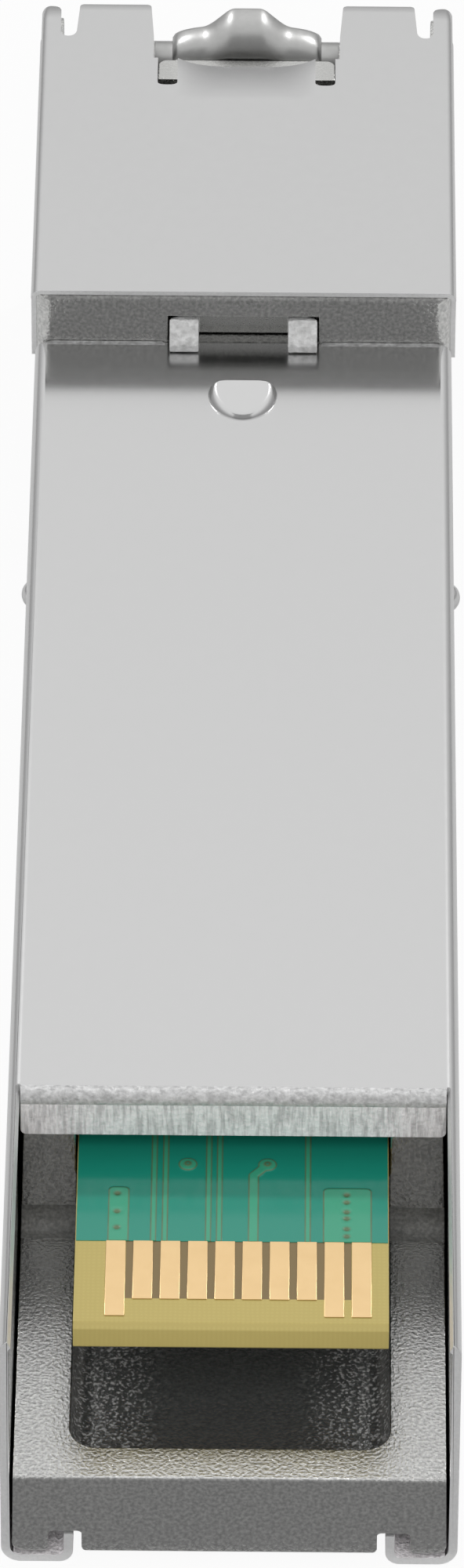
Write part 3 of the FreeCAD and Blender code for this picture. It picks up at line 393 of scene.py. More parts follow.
VIA_DOME_HEIGHT = 0.05
VIA_DENT_SHARE = 0.4
VIA_BARE = 0.85
POUR_VIA_BARE = 0.65
THIN_FROM = 0.1
THIN_TO = 0.45
THICK_FROM = 0.55
THICK_TO = 0.95
RIPPLE_SIZE = 0.2
RIPPLE_DEPTH = 0.001
LACQUER_SHINY = 0.1
LACQUER_MATT = 0.2
POUR_VIAS = (
    (-3.39, -22.60),
    (-3.39, -23.40),
    (-3.39, -24.11),
    (3.36, -22.60),
    (3.36, -22.93),
    (3.36, -23.36),
    (3.36, -23.65),
    (3.36, -24.11),
    (3.36, -24.44),
)


def sheet(outer, inner, kept=None):
    """The corners and faces of a sheet whose two faces are grids of points that lie opposite each other.
    kept says which cells of the grid are material. Each such cell has a quad on both faces, and each edge
    between material and none has one across the thickness."""
    rows, columns = outer.shape[:2]
    kept = np.ones((rows - 1, columns - 1), bool) if kept is None else kept
    number = np.arange(rows * columns).reshape(rows, columns)
    under = rows * columns
    cells = np.stack([number[:-1, :-1], number[1:, :-1], number[1:, 1:], number[:-1, 1:]], axis=-1)[kept]
    padded = np.pad(kept, 1)
    across = padded[1:, 1:-1] != padded[:-1, 1:-1]
    along = padded[1:-1, 1:] != padded[1:-1, :-1]
    starts = np.concatenate([number[:, :-1][across], number[:-1, :][along]])
    ends = np.concatenate([number[:, 1:][across], number[1:, :][along]])
    rim = np.stack([starts, ends, ends + under, starts + under], axis=1)
    faces = np.concatenate([cells, cells[:, ::-1] + under, rim])
    used, renumbered = np.unique(faces, return_inverse=True)
    points = np.concatenate([outer.reshape(-1, 3), inner.reshape(-1, 3)])
    return points[used], renumbered.reshape(faces.shape)


def off_run(x, y, start, end, half_width):
    """The distance outside a round-ended run: from each point to the nearest one on the line from start to
    end, less half the width."""
    run_x = end[0] - start[0]
    run_y = end[1] - start[1]
    share = np.clip(((x - start[0]) * run_x + (y - start[1]) * run_y) / (run_x**2 + run_y**2), 0, 1)
    return np.hypot(x - start[0] - share * run_x, y - start[1] - share * run_y) - half_width


def off_area(x, y, low, high, corner):
    """The distance outside a round-cornered area: how far each point lies past the area less its corners,
    in both directions together, less the corner's radius."""
    past_x = np.abs(x - (low[0] + high[0]) / 2) - (high[0] - low[0]) / 2 + corner
    past_y = np.abs(y - (low[1] + high[1]) / 2) - (high[1] - low[1]) / 2 + corner
    return np.hypot(np.maximum(past_x, 0), np.maximum(past_y, 0)) - corner


mask_x = np.linspace(-MASK_X, MASK_X, round(2 * MASK_X / MASK_STEP) + 1)
mask_y = np.linspace(MASK_EDGE_Y, MASK_DETAIL_Y, round((MASK_DETAIL_Y - MASK_EDGE_Y) / MASK_STEP) + 1)
mask_x, mask_y = np.meshgrid(mask_x, np.append(mask_y, MASK_FRONT_Y))
below = MASK_EDGE_Y - 1
copper_runs = [((x, below), (x, MASK_FRONT_Y + 1), TRACE_HALF) for x in TRACE_X]
copper_runs += [(start, end, WIDE_TRACE_HALF) for start, end in zip(BENT_TRACE, BENT_TRACE[1:])]
off_copper = [off_run(mask_x, mask_y, *run) for run in copper_runs]
off_copper += [off_area(mask_x, mask_y, (low, below), (high, POUR_TOP_Y), POUR_CORNER) for low, high in POURS]
off_copper += [np.hypot(mask_x - x, mask_y - y) - VIA_PAD for x, y in PAD_VIAS]
# A logistic step, whose slope in its middle is one over the soft width
over_copper = 1 / (1 + np.exp(np.min(off_copper, axis=0) * 4 / COPPER_SOFT))
off_via = np.min([np.hypot(mask_x - x, mask_y - y) for x, y in PAD_VIAS], axis=0)
via_dome = np.exp(-((off_via / VIA_DOME) ** 2))
off_hole = np.min([np.hypot(mask_x - x, mask_y - y) for x, y in POUR_VIAS], axis=0)
via_dent = np.exp(-((off_hole / VIA_DOME) ** 2))
over_copper *= (
    1
    - VIA_BARE * np.exp(-((off_via / VIA_HOLE) ** 2))
    - POUR_VIA_BARE * np.exp(-((off_hole / VIA_HOLE) ** 2))
)
via_relief = VIA_DOME_HEIGHT * (via_dome - VIA_DENT_SHARE * via_dent)
film_z = BOARD_TOP_Z + MASK_FILM + COPPER_HEIGHT * over_copper + via_relief
film_top = np.stack([mask_x, mask_y, film_z], axis=-1)
film_bottom = np.stack([mask_x, mask_y, np.full_like(mask_x, BOARD_TOP_Z - MASK_SINK)], axis=-1)
# Solder mask, a green epoxy lacquer: glossy, blue green on the laminate, lighter and yellower over copper,
# and thin and brown along the copper's edges
lacquer, tree, place = begin("solder_mask_lacquer")
copper = add(tree, "Attribute", attribute_name="copper").outputs["Fac"]
edge = add(tree, "MapRange", {"Value": copper, "From Min": THIN_FROM, "From Max": THIN_TO})
middle = add(tree, "MapRange", {"Value": copper, "From Min": THICK_FROM, "From Max": THICK_TO})
thin = add(tree, "Mix", {0: edge, 6: linear("#1f907b"), 7: linear("#5d7350")}, data_type="RGBA")
green = add(tree, "Mix", {0: middle, 6: thin.outputs[2], 7: linear("#3da280")}, data_type="RGBA")
ripple = add(tree, "TexNoise", {"Vector": place, "Scale": 1 / RIPPLE_SIZE, "Detail": 2.0})
gloss = add(tree, "MapRange", {"Value": ripple, "To Min": LACQUER_SHINY, "To Max": LACQUER_MATT})
wavy = add(tree, "Bump", {"Height": ripple, "Distance": RIPPLE_DEPTH * MM})
close(lacquer, tree, {"Base Color": green.outputs[2], "Roughness": gloss, "Normal": wavy, "IOR": 1.55})
piece(
    "solder_mask",
    sheet(film_top, film_bottom),
    "housing",
    [lacquer],
    worked=True,
    marks={"copper": np.tile(over_copper.ravel(), 2)},
)

# Parts on the board and between it and the cover: moulded chips, ferrite coils, ceramic capacitors, the two
# flexible circuits and a soft pad that leads the laser driver's heat into the cover. All lie inside.

# Moulded epoxy, the matt charcoal of chip packages
package = mottled("moulded_epoxy", 0.05, ("#242527", "#303133"), (0.5, 0.65), 0.004)
# Sintered ferrite: dark grey brown with a stony grain
ferrite = mottled("sintered_ferrite", 0.12, ("#33302d", "#47433e"), (0.45, 0.6), 0.008)
# Fired ceramic: tan with faint specks
ceramic = mottled("fired_ceramic", 0.08, ("#a3835c", "#b8976c"), (0.4, 0.5), 0.003)
# Polyimide film over copper: amber and slightly glossy
polyimide = mottled("polyimide_film", 0.3, ("#a8621c", "#c07a2a"), (0.25, 0.35), 0.002)
# Filled silicone: soft grey with a fine filler grain
silicone = mottled("filled_silicone", 0.08, ("#83878a", "#9a9ea0"), (0.7, 0.85), 0.01)
for material, nodes in (
    (package, ("laser_driver_chip", "amplifier_chip", "controller_chip", "memory_chip")),
    (ferrite, ("power_inductors",)),
    (ceramic, ("decoupling_capacitors",)),
    (polyimide, ("receiver_flex", "transmitter_flex")),
    (silicone, ("thermal_pad",)),
):
    for node in nodes:
        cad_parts[node].material_slots[0].material = material

# Folded cover: one stamped sheet of bright stainless steel, folded round the housing with hooks under its
# edges. Its rear edge is bent down as a flange between two relief slots, with the skirts going on beside
# them, and the latch boss and the two side dimples are pressed out of it.
SHEET = 0.27
SKIRT_X = 6.65
HOOK_X = 4.55
HOOK_LIP_Z = 1.1
PLATE_Z = 8.6
COVER_BEND = 0.42
HOOK_BEND = 0.58
COVER_FRONT_Y = 15.94
COVER_REAR_Y = -31.8
RELIEF_Y = -20.5
CURL_X = 6.41
FLANGE_X = 6.28
FLANGE_Y = -20.96
FLANGE_LOW_Z = 7.07
FLANGE_BEND = 0.36
FLANGE_CORNER = 0.18
SLOT_REACH = 0.2
SHEARED_EDGE = 0.03
BURR_WIDTH = 0.16
BURR_HEIGHT = 0.05
BURR_X = (2.5, 2.6, 6.1, 6.3)
BEND_STEPS = 10
CORNER_STEPS = 6
BOSS_Y = 13.1
BOSS_FRONT = (0.38, 0.3)
BOSS_REAR = (1.2, 1.0)
BOSS_HALF = (1.1, 0.8)
BOSS_RISE = 0.45
BOSS_RAMP = 0.3
BOSS_POWERS = (4, 1.8)
BOSS_START = math.radians(12)
DIMPLE_Y = 7.95
DIMPLE_Z = 4.6
DIMPLE_BALL = 0.5
DIMPLE_RISE = 0.28
ROUND_STEPS = 48
SWELL_STEPS = 9


def bent(corners, radii):
    """A line through corners in a plane that turns along an arc of a radius at each one between, as points
    and the unit vectors to the right of it. An arc's points are its centre less the radius times the unit
    vector to the side that it turns to, for directions spread evenly over the turn."""
    corners = np.array(corners, float)
    runs = np.diff(corners, axis=0)
    headings = np.arctan2(runs[:, 1], runs[:, 0])
    lines = [corners[:1]]
    directions = [headings[:1]]
    for corner, before, after, radius in zip(corners[1:-1], headings, headings[1:], radii):
        turn = (after - before + math.pi) % (2 * math.pi) - math.pi
        side = math.copysign(radius, turn)
        start = corner - radius * math.tan(abs(turn) / 2) * np.array([math.cos(before), math.sin(before)])
        centre = start + side * np.array([-math.sin(before), math.cos(before)])
        swung = before + turn * np.linspace(0, 1, BEND_STEPS + 1)
        lines.append(centre - side * np.stack([-np.sin(swung), np.cos(swung)], axis=1))
        directions.append(swung)
    lines.append(corners[-1:])
    directions.append(headings[-1:])
    heading = np.concatenate(directions)
    return np.concatenate(lines), np.stack([np.sin(heading), -np.cos(heading)], axis=1)


def with_columns(line, normals, on_face, places):
    """A bent line's points and unit vectors with more of them, at places across its upper face. Both are
    read off at lengths along the line, and each vector is made a unit again."""
    length = np.concatenate([[0], np.cumsum(np.hypot(*np.diff(line, axis=0).T))])
    added = np.interp(places, line[on_face, 0], length[on_face])
    columns = np.unique(np.concatenate([length, added]).round(6))
    points, vectors = (
        np.stack([np.interp(columns, length, values[:, axis]) for axis in (0, 1)], axis=1)
        for values in (line, normals)
    )
    return points, vectors / np.hypot(*vectors.T)[:, None]


def wrapped(grid):
    """The corners and faces of a grid of points that is closed round its columns, with a quad between each
    two rows and columns. Rows drawn to one point close its ends."""
    rows, columns = grid.shape[:2]
    number = np.arange(rows * columns).reshape(rows, columns)
    ahead = np.roll(number, -1, axis=1)
    quads = np.stack([number[:-1], ahead[:-1], ahead[1:], number[1:]], axis=-1).reshape(-1, 4)
    return grid.reshape(-1, 3), quads


def pressed(base, top, rise, start):
    """A form pressed out of a sheet, as rows of (across, along, height). Between its base and top outlines
    it rises as a quarter of an ellipse from the start angle: the step inwards follows the cosine and the
    height the sine. The first rows close it inside the sheet and the last one at the middle of its top."""
    swing = np.linspace(start, math.pi / 2, SWELL_STEPS)[:, None]
    inwards = 1 - np.cos(swing) / math.cos(start)
    height = rise * (np.sin(swing) - math.sin(start)) / (1 - math.sin(start))
    walls = base + inwards[..., None] * (top - base)
    flanks = np.concatenate([walls, np.broadcast_to(height[..., None], walls.shape[:2] + (1,))], axis=-1)
    sunk = np.concatenate([base, np.full((len(base), 1), -SHEET / 3)], axis=1)[None]
    middle = np.broadcast_to(flanks[-1].mean(axis=0), flanks[-1:].shape)
    lowest = np.broadcast_to(sunk[0].mean(axis=0), sunk.shape)
    return np.concatenate([lowest, sunk, flanks, middle])


def shield(half, front, rear, front_power, rear_power):
    """A closed outline that is a superellipse of one length and power before its widest line and of another
    one behind it: each half width or length times a power of the cosine or sine."""
    turn = np.linspace(0, 2 * math.pi, ROUND_STEPS, endpoint=False)
    cosine = np.cos(turn)
    sine = np.sin(turn)
    power = np.where(sine > 0, 2 / front_power, 2 / rear_power)
    across = half * np.sign(cosine) * np.abs(cosine) ** power
    along = np.where(sine > 0, front, rear) * np.sign(sine) * np.abs(sine) ** power
    return np.stack([across, along], axis=1)


def joined(*shapes):
    """Several (corners, faces) as one."""
    counts = np.cumsum([0] + [len(points) for points, faces in shapes[:-1]])
    corners = np.concatenate([points for points, faces in shapes])
    return corners, np.concatenate([faces + count for (points, faces), count in zip(shapes, counts)])


section, to_inside = bent(
    [
        (-HOOK_X, HOOK_LIP_Z),
        (-HOOK_X, 0),
        (-SKIRT_X, 0),
        (-SKIRT_X, PLATE_Z),
        (SKIRT_X, PLATE_Z),
        (SKIRT_X, 0),
        (HOOK_X, 0),
        (HOOK_X, HOOK_LIP_Z),
    ],
    (COVER_BEND, HOOK_BEND, COVER_BEND, COVER_BEND, HOOK_BEND, COVER_BEND),
)
on_top = section[:, 1] > PLATE_Z - COVER_BEND - SAME_POINT
slot_x = np.linspace(FLANGE_X, CURL_X, CORNER_STEPS + 1)
cut_x = np.concatenate([slot_x, BURR_X])
across, inwards = with_columns(section, to_inside, on_top, np.concatenate([-cut_x, cut_x]))
above = across[:, 1] > PLATE_Z - COVER_BEND
in_flange = above & (np.abs(across[:, 0]) < FLANGE_X + SAME_POINT)
in_skirt = ~above | (np.abs(across[:, 0]) > CURL_X - SAME_POINT)

flange_line, out_of_flange = bent(
    [(RELIEF_Y, PLATE_Z), (FLANGE_Y, PLATE_Z), (FLANGE_Y, FLANGE_LOW_Z + FLANGE_CORNER)], (FLANGE_BEND,)
)
corner_turn = np.linspace(0, math.pi / 2, CORNER_STEPS + 1)[1:]
corner_line = np.stack(
    [np.full(CORNER_STEPS, FLANGE_Y), FLANGE_LOW_Z + FLANGE_CORNER * (1 - np.sin(corner_turn))], axis=1
)
flange_line = np.concatenate([flange_line, corner_line])
out_of_flange = np.concatenate([out_of_flange, np.tile(out_of_flange[-1], (CORNER_STEPS, 1))])
drawn_in = np.concatenate(
    [np.zeros(len(flange_line) - CORNER_STEPS), FLANGE_CORNER * (1 - np.cos(corner_turn))]
)

rows = 2 + len(flange_line)
along = np.concatenate(
    [[COVER_FRONT_Y, COVER_FRONT_Y - BURR_WIDTH], np.linspace(RELIEF_Y, COVER_REAR_Y, rows - 2)]
)
cover_out = np.empty((rows, len(across), 3))
cover_out[..., 0] = across[:, 0]
cover_out[..., 1] = along[:, None]
cover_out[..., 2] = across[:, 1]
cover_in = cover_out.copy()
cover_in[..., [0, 2]] += SHEET * inwards
cover_out[0, above, 2] += np.interp(np.abs(across[above, 0]), BURR_X, [0, BURR_HEIGHT, BURR_HEIGHT, 0])
flange_x = across[in_flange, 0]
flange_out = np.empty((rows - 3, in_flange.sum(), 3))
flange_out[..., 0] = flange_x * (1 - drawn_in[1:, None] / FLANGE_X)
flange_out[..., 1:] = flange_line[1:, None]
flange_in = flange_out.copy()
flange_in[..., 1:] -= SHEET * out_of_flange[1:, None]
cover_out[3:, in_flange] = flange_out
cover_in[3:, in_flange] = flange_in
in_slot = above & ~in_flange & ~in_skirt
slot_middle = (FLANGE_X + CURL_X) / 2
slot_half = (CURL_X - FLANGE_X) / 2
arch = np.sqrt(slot_half**2 - (np.abs(across[in_slot, 0]) - slot_middle) ** 2)
cover_out[2, in_slot, 1] += arch
cover_in[2, in_slot, 1] += arch
kept = np.ones((rows - 1, len(across) - 1), bool)
kept[2:] = (in_flange[1:] & in_flange[:-1]) | (in_skirt[1:] & in_skirt[:-1])
cover_shape = sheet(cover_out, cover_in, kept)

boss_base, boss_top = (shield(*sizes, *BOSS_POWERS) for sizes in zip(BOSS_HALF, BOSS_FRONT, BOSS_REAR))
boss_form = pressed(boss_base, boss_top, BOSS_RISE, BOSS_START)
ramp = np.interp(boss_form[..., 1], [-BOSS_REAR[0], BOSS_FRONT[1]], [BOSS_RAMP, 1])
boss_form[..., 2] *= np.where(boss_form[..., 2] > 0, ramp, 1)
boss_form += np.array([0, BOSS_Y, PLATE_Z])
dimple_start = math.asin((DIMPLE_BALL - DIMPLE_RISE) / DIMPLE_BALL)
dimple_edge = DIMPLE_BALL * math.cos(dimple_start)
dimple_base = shield(dimple_edge, dimple_edge, dimple_edge, 2, 2)
dimple_form = pressed(dimple_base, 0 * dimple_base, DIMPLE_RISE, dimple_start)
dimples = [
    np.stack(
        [
            side * (SKIRT_X + dimple_form[..., 2]),
            DIMPLE_Y + dimple_form[..., 1],
            DIMPLE_Z + dimple_form[..., 0],
        ],
        axis=-1,
    )
    for side in (-1, 1)
]
cover_faces = len(cover_shape[1])
cover_shape = joined(cover_shape, wrapped(boss_form), *[wrapped(form) for form in dimples])
middles = cover_shape[0][cover_shape[1]].mean(axis=1)
on_flange = (middles[:, 1] < RELIEF_Y) & (np.abs(middles[:, 0]) < FLANGE_X)
on_burr = (middles[:, 1] > COVER_FRONT_Y - BURR_WIDTH) & (middles[:, 2] > PLATE_Z + SAME_POINT)
at_bend = on_flange & (middles[:, 2] > PLATE_Z - FLANGE_BEND)
finish = np.select([at_bend | on_burr, on_flange], [1, 2], 0)
finish[2 * kept.sum() : cover_faces] = 3
# Bright-rolled stainless sheet: a nearly plain mirror grey with a faint haze
rolled_steel = mottled("bright_rolled_stainless", 0.3, ("#cfcfcf", "#d1d1d1"), (0.17, 0.2), 0.0, 1.0)
# The same sheet where the flange is bent: stretched over the tool until its grain stands out, half matt
stretched_steel = mottled("stretched_stainless", 0.16, ("#828282", "#f2f2f2"), (0.4, 0.5), 0.05, 0.4)
# Its sheared edges: bright, matt and slightly torn
sheared_steel = mottled("sheared_stainless", 0.08, ("#dedede", "#f4f4f4"), (0.36, 0.46), 0.012, 0.6)
# And its flange, dragged over by the folding tool: bright and matt, with fine scores that run down it
SCORE_WIDTH = 0.1
SCORE_LENGTH = 0.8
SCORE_DEPTH = 0.06
STREAK_DARK = 0.35
STREAK_LIGHT = 0.6
WAVE_SIZE = 0.16
WAVE_DEPTH = 0.04
dragged_steel, tree, place = begin("tool_dragged_stainless")
drawn = add(
    tree, "Mapping", {"Vector": place, "Scale": (1 / SCORE_WIDTH, 1 / SCORE_WIDTH, 1 / SCORE_LENGTH)}
)
scores = add(tree, "TexNoise", {"Vector": drawn, "Scale": 1.0, "Detail": 2.0})
waves = add(tree, "TexNoise", {"Vector": place, "Scale": 1 / WAVE_SIZE, "Detail": 2.0})
scored = add(tree, "Bump", {"Height": scores, "Distance": SCORE_DEPTH * MM})
wavy = add(tree, "Bump", {"Height": waves, "Distance": WAVE_DEPTH * MM, "Normal": scored})
score_range = {"Value": scores, "From Min": STREAK_DARK, "From Max": STREAK_LIGHT}
streak = add(tree, "MapRange", score_range)
# Painted light correction: both tones are tinted faintly pink to cancel the green light that the board throws
# on the flange
tone = add(tree, "Mix", {0: streak, 6: linear("#d4d0d2"), 7: linear("#fffbfd")}, data_type="RGBA")
close(
    dragged_steel,
    tree,
    {"Base Color": tone.outputs[2], "Metallic": 0.1, "Roughness": 0.45, "Normal": wavy},
)


def at_slot(middle):
    """Where the cover's edges run too close to each other to be rounded."""
    return abs(abs(middle.x) - slot_middle) < 2 * slot_half and abs(middle.y - RELIEF_Y) < SLOT_REACH


piece(
    "folded_cover",
    cover_shape,
    "housing",
    [rolled_steel, stretched_steel, dragged_steel, sheared_steel],
    "shell_cover",
    SHEARED_EDGE,
    at_slot,
    worked=True,
    finishes=finish,
)

# Release slide and its spring: a stamped, plated steel plate in the nose's channel. Its two tines push the
# cage's latch off the boss, and a small wound spring brings it back.
SLIDE_EDGE = 0.05
TINE_ROOT_Y = 16.4
COIL_RADIUS = 0.36
WIRE_RADIUS = 0.07
COIL_TURNS = 5
COIL_START_Y = 21.79
COIL_END_Y = 25.86
COIL_Z = 9.07
COIL_STEPS = 160
WIRE_STEPS = 10
# Nickel-plated steel: grey, satin, with faint clouds
plated_steel = mottled("nickel_plated_steel", 0.1, ("#b9b9b7", "#cfcfcd"), (0.22, 0.32), 0.006, 1.0)
# And its sheared tines: bright and torn, with a coarse sparkle
torn_steel = mottled("sheared_plated_steel", 0.2, ("#a0a09f", "#ffffff"), (0.3, 0.4), 0.08, 0.35)
slide_shape = cad_copy("slider")
on_tine = slide_shape[0][slide_shape[1]][..., 1].mean(axis=1) < TINE_ROOT_Y
piece(
    "release_slide",
    slide_shape,
    "release_slider",
    [plated_steel, torn_steel],
    "slider",
    SLIDE_EDGE,
    finishes=on_tine.astype(int),
)


def wound(radius, wire, start, end, turns, height):
    """A round wire wound into a coil about a line along Y: its middle line goes round a circle of the
    radius while it moves from start to end, and the wire's own ring lies in the plane of the outward
    direction and of the one square to that and to the winding. Rings of no size close its ends."""
    share = np.linspace(0, 1, COIL_STEPS)
    swing = 2 * math.pi * turns * share
    outward = np.stack([np.cos(swing), np.zeros(COIL_STEPS), np.sin(swing)], axis=1)
    centre = radius * outward + np.stack(
        [0 * share, start + (end - start) * share, height + 0 * share], axis=1
    )
    winding = np.gradient(centre, axis=0)
    square = np.cross(winding, outward)
    square /= np.linalg.norm(square, axis=1)[:, None]
    turn = np.linspace(0, 2 * math.pi, WIRE_STEPS, endpoint=False)[:, None]
    ring = wire * (np.cos(turn) * outward[:, None] + np.sin(turn) * square[:, None])
    ring = np.concatenate([0 * ring[:1], ring, 0 * ring[-1:]])
    return ring + np.concatenate([centre[:1], centre, centre[-1:]])[:, None]


piece(
    "return_spring",
    wrapped(wound(COIL_RADIUS, WIRE_RADIUS, COIL_START_Y, COIL_END_Y, COIL_TURNS, COIL_Z)),
    "housing",
    [plated_steel],
    "slider_spring",
    worked=True,
    stretch=("release_slider", (0, COIL_START_Y * MM, COIL_Z * MM), (0, COIL_END_Y * MM, COIL_Z * MM)),
)

# Pivot pin and release handle: the handle is a zinc die casting like the housing, with a pull loop round
# the ports, a barrel on the pin, and a cam lobe on the barrel that pushes the slide back as it turns.
PIVOT_Y = 30.95
PIVOT_Z = 8.85
PIN_RADIUS = 0.4
PIN_HALF = 6.475
PIN_EDGE = 0.1
BARREL_RADIUS = 0.7
BARREL_BORE = 0.44
HANDLE_HALF = 5.925
HANDLE_EDGE = 0.12
LOOP_Y = (30.375, 31.525)
LOOP_LOW_Z = 0.3
LOOP_INNER_X = 5.375
LOOP_INNER_Z = 1.5
LOOP_OUTER_CORNER = 1.3
LOOP_INNER_CORNER = 0.75
CAM_PUSH = 0.635
CAM_HALF = 2.45
CAM_TOP_HALF = 0.4
CAM_FOOT_HALF = 1.5
CAM_DOME_SHARE = 0.46
CAM_LEDGE = 0.19
CAM_DOME_POWER = 3
CAM_RUN_OUT = 0.05
CAM_ACROSS = 61
CAM_ROUND = 20


def turned(profile):
    """A profile of (along, radius) turned about a line along X through the pivot."""
    turn = np.linspace(0, 2 * math.pi, ROUND_STEPS, endpoint=False)
    along, radius = np.array(profile, float).T[..., None]
    across = np.broadcast_to(along, (len(profile), ROUND_STEPS))
    return np.stack([across, PIVOT_Y + radius * np.cos(turn), PIVOT_Z + radius * np.sin(turn)], axis=-1)


def lobe(across):
    """The cam, as a section for each place across the barrel. Its working flank is an involute: after a
    turn, the point lies out by the barrel's radius plus the push times that turn, and the push along the
    flank's own direction. The push is whole at the middle, falls along a smooth step to a lower dome, and
    ends with it. From the tip a blunt ledge, a superellipse, leads down to the barrel's front."""
    share = np.clip((np.abs(across) - CAM_TOP_HALF) / (CAM_FOOT_HALF - CAM_TOP_HALF), 0, 1)
    step = 1 - share**2 * (3 - 2 * share)
    dome = np.sqrt(np.clip(1 - np.abs(across / CAM_HALF) ** CAM_DOME_POWER, 0, 1))
    push = CAM_PUSH * (CAM_DOME_SHARE * dome + (1 - CAM_DOME_SHARE) * step * dome)
    push = push[:, None]
    turn = np.linspace(0, math.pi / 2, CAM_ROUND)
    reach = BARREL_RADIUS + push * turn
    flank_y = -reach * np.cos(turn) + push * np.sin(turn)
    flank_z = reach * np.sin(turn) + push * np.cos(turn)
    back = np.linspace(0, math.pi / 2, CAM_ROUND)[1:]
    tip_y = flank_y[:, -1:]
    tip_z = flank_z[:, -1:]
    front_y = np.maximum(BARREL_RADIUS, tip_y + CAM_LEDGE * push / CAM_PUSH)
    back_y = tip_y + (front_y - tip_y) * np.sqrt(np.sin(back))
    back_z = tip_z * np.sqrt(np.cos(back).clip(0))
    line_y = np.concatenate([np.full_like(push, -BARREL_RADIUS), flank_y, back_y], axis=1)
    line_z = np.concatenate([np.zeros_like(push), flank_z, back_z], axis=1)
    line_x = np.broadcast_to(across[:, None], line_y.shape)
    section = np.stack([line_x, PIVOT_Y + line_y, PIVOT_Z + line_z], axis=-1)
    ends = [np.broadcast_to(section[end].mean(axis=0), section[:1].shape) for end in (0, -1)]
    return np.concatenate([ends[0], section, ends[1]])


def loop_side(half, low, corner):
    """One side of the pull loop, as a grid of its front and rear edges: a bent line that goes down from the
    pivot's height, across at the low height and up again."""
    line, _ = bent([(-half, PIVOT_Z), (-half, low), (half, low), (half, PIVOT_Z)], (corner, corner))
    edges = [np.stack([line[:, 0], np.full(len(line), y), line[:, 1]], axis=1) for y in LOOP_Y]
    return np.stack(edges, axis=1)


bore = [(-HANDLE_HALF, BARREL_BORE), (-HANDLE_HALF, BARREL_RADIUS)]
bore += [(HANDLE_HALF, BARREL_RADIUS), (HANDLE_HALF, BARREL_BORE), (-HANDLE_HALF, BARREL_BORE)]
handle_shape = joined(
    sheet(
        loop_side(HANDLE_HALF, LOOP_LOW_Z, LOOP_OUTER_CORNER),
        loop_side(LOOP_INNER_X, LOOP_INNER_Z, LOOP_INNER_CORNER),
    ),
    wrapped(turned(bore)),
    wrapped(lobe(np.linspace(-CAM_HALF, CAM_HALF, CAM_ACROSS))),
)


def on_cam(middle):
    """Where the lobe runs out on the barrel."""
    return abs(middle.x) < CAM_HALF + CAM_RUN_OUT and middle.z > PIVOT_Z - CAM_RUN_OUT


# The handle's zinc is tumbled before it is plated: smooth, with a soft satin shine. Its tone is a painted
# shade, darker than the housing's plating, that stands in for the shade on the cam.
shade_darkened_zinc = mottled("tumbled_nickel_plated_zinc", 0.2, ("#acacab", "#b8b8b7"), (0.32, 0.4), 0.003, 1.0)
piece(
    "release_handle",
    handle_shape,
    "bail",
    [shade_darkened_zinc],
    "bail_handle",
    HANDLE_EDGE,
    on_cam,
    worked=True,
)
pin_line = [
    (-PIN_HALF, 0),
    (-PIN_HALF, PIN_RADIUS - PIN_EDGE),
    (-PIN_HALF + PIN_EDGE, PIN_RADIUS),
    (PIN_HALF - PIN_EDGE, PIN_RADIUS),
    (PIN_HALF, PIN_RADIUS - PIN_EDGE),
    (PIN_HALF, 0),
]
piece(
    "handle_pin",
    wrapped(turned(pin_line)),
    "housing",
    [plated_steel],
    "pivot_pin",
    worked=True,
)

# Nose cover: a thin folded sheet that is snapped over the underside of the nose, with two tabs, two narrow
# prongs beside them, and a tongue between two slots that is pressed down as a bowl in front of the cam.
NOSE_SHEET = 0.15
NOSE_X = 6.775
NOSE_Z = 10.6
NOSE_LOW_Z = 7.7
NOSE_BEND = 0.3
NOSE_BACK_Y = 15.95
NOSE_SKIRT_Y = 16.45
SETBACK_SLANT = 0.025
BOWL_Y = 26.3
BOWL_RADIUS = 9.0
BOWL_POWER = 4
TONGUE_Y = 27.25
TONGUE_X = 2.25
SLOT_X = 2.9
SLOT_ROOT = 0.15
SLOT_POWER = 3
NOTCH_Y = 28.75
NOTCH_X = 3.05
FINGER_Y = 29.95
FINGER_ROOT = 0.025
FINGER_END_Y = 31.8
TAB_X = 5.6
TAB_CORNER = 0.14
TAB_TAPER = 0.06
TAB_CURL = 0.45
TAB_RADIUS = 2.4
PRONG_X = 6.115
PRONG_END_X = 6.745
PRONG_CORNER = 0.315
PRONG_CURL = 0.85
PRONG_RADIUS = 3.0
FINGER_ROWS = 20
BOWL_ROWS = 6
TONGUE_ROWS = 8
EDGE_COLUMNS = 7


def spread(low, high):
    """Places between two limits, close together near both of them, as a cosine spaces them."""
    return (low + high) / 2 - (high - low) / 2 * np.cos(np.linspace(0, math.pi, 2 * EDGE_COLUMNS + 1))


def finger(x, root, low, high, corner, taper, curl, radius):
    """Rows of a finger of the nose cover from its root on, as (x, y, drop, tilt) for each place x between
    low and high. Its end is a straight line with corners of a radius, its sides come together by the taper,
    and over the length of its curl it bends down along an arc."""
    off_middle = x - (low + high) / 2
    in_corner = np.clip((np.abs(off_middle) - (high - low) / 2 + corner) / corner, 0, 1)
    reach = FINGER_END_Y - FINGER_Y - corner * (1 - np.sqrt(1 - in_corner**2))
    run = root + np.sin(np.linspace(0, math.pi / 2, FINGER_ROWS))[:, None] * (reach - root)
    narrowed = x - taper * 2 * off_middle / (high - low) * run
    straight = FINGER_END_Y - FINGER_Y - curl
    tilt = np.clip(run - straight, 0, None) / radius
    along = np.minimum(run, straight) + radius * np.sin(tilt)
    return np.stack([narrowed, FINGER_Y + along, radius * (1 - np.cos(tilt)), tilt], axis=-1)


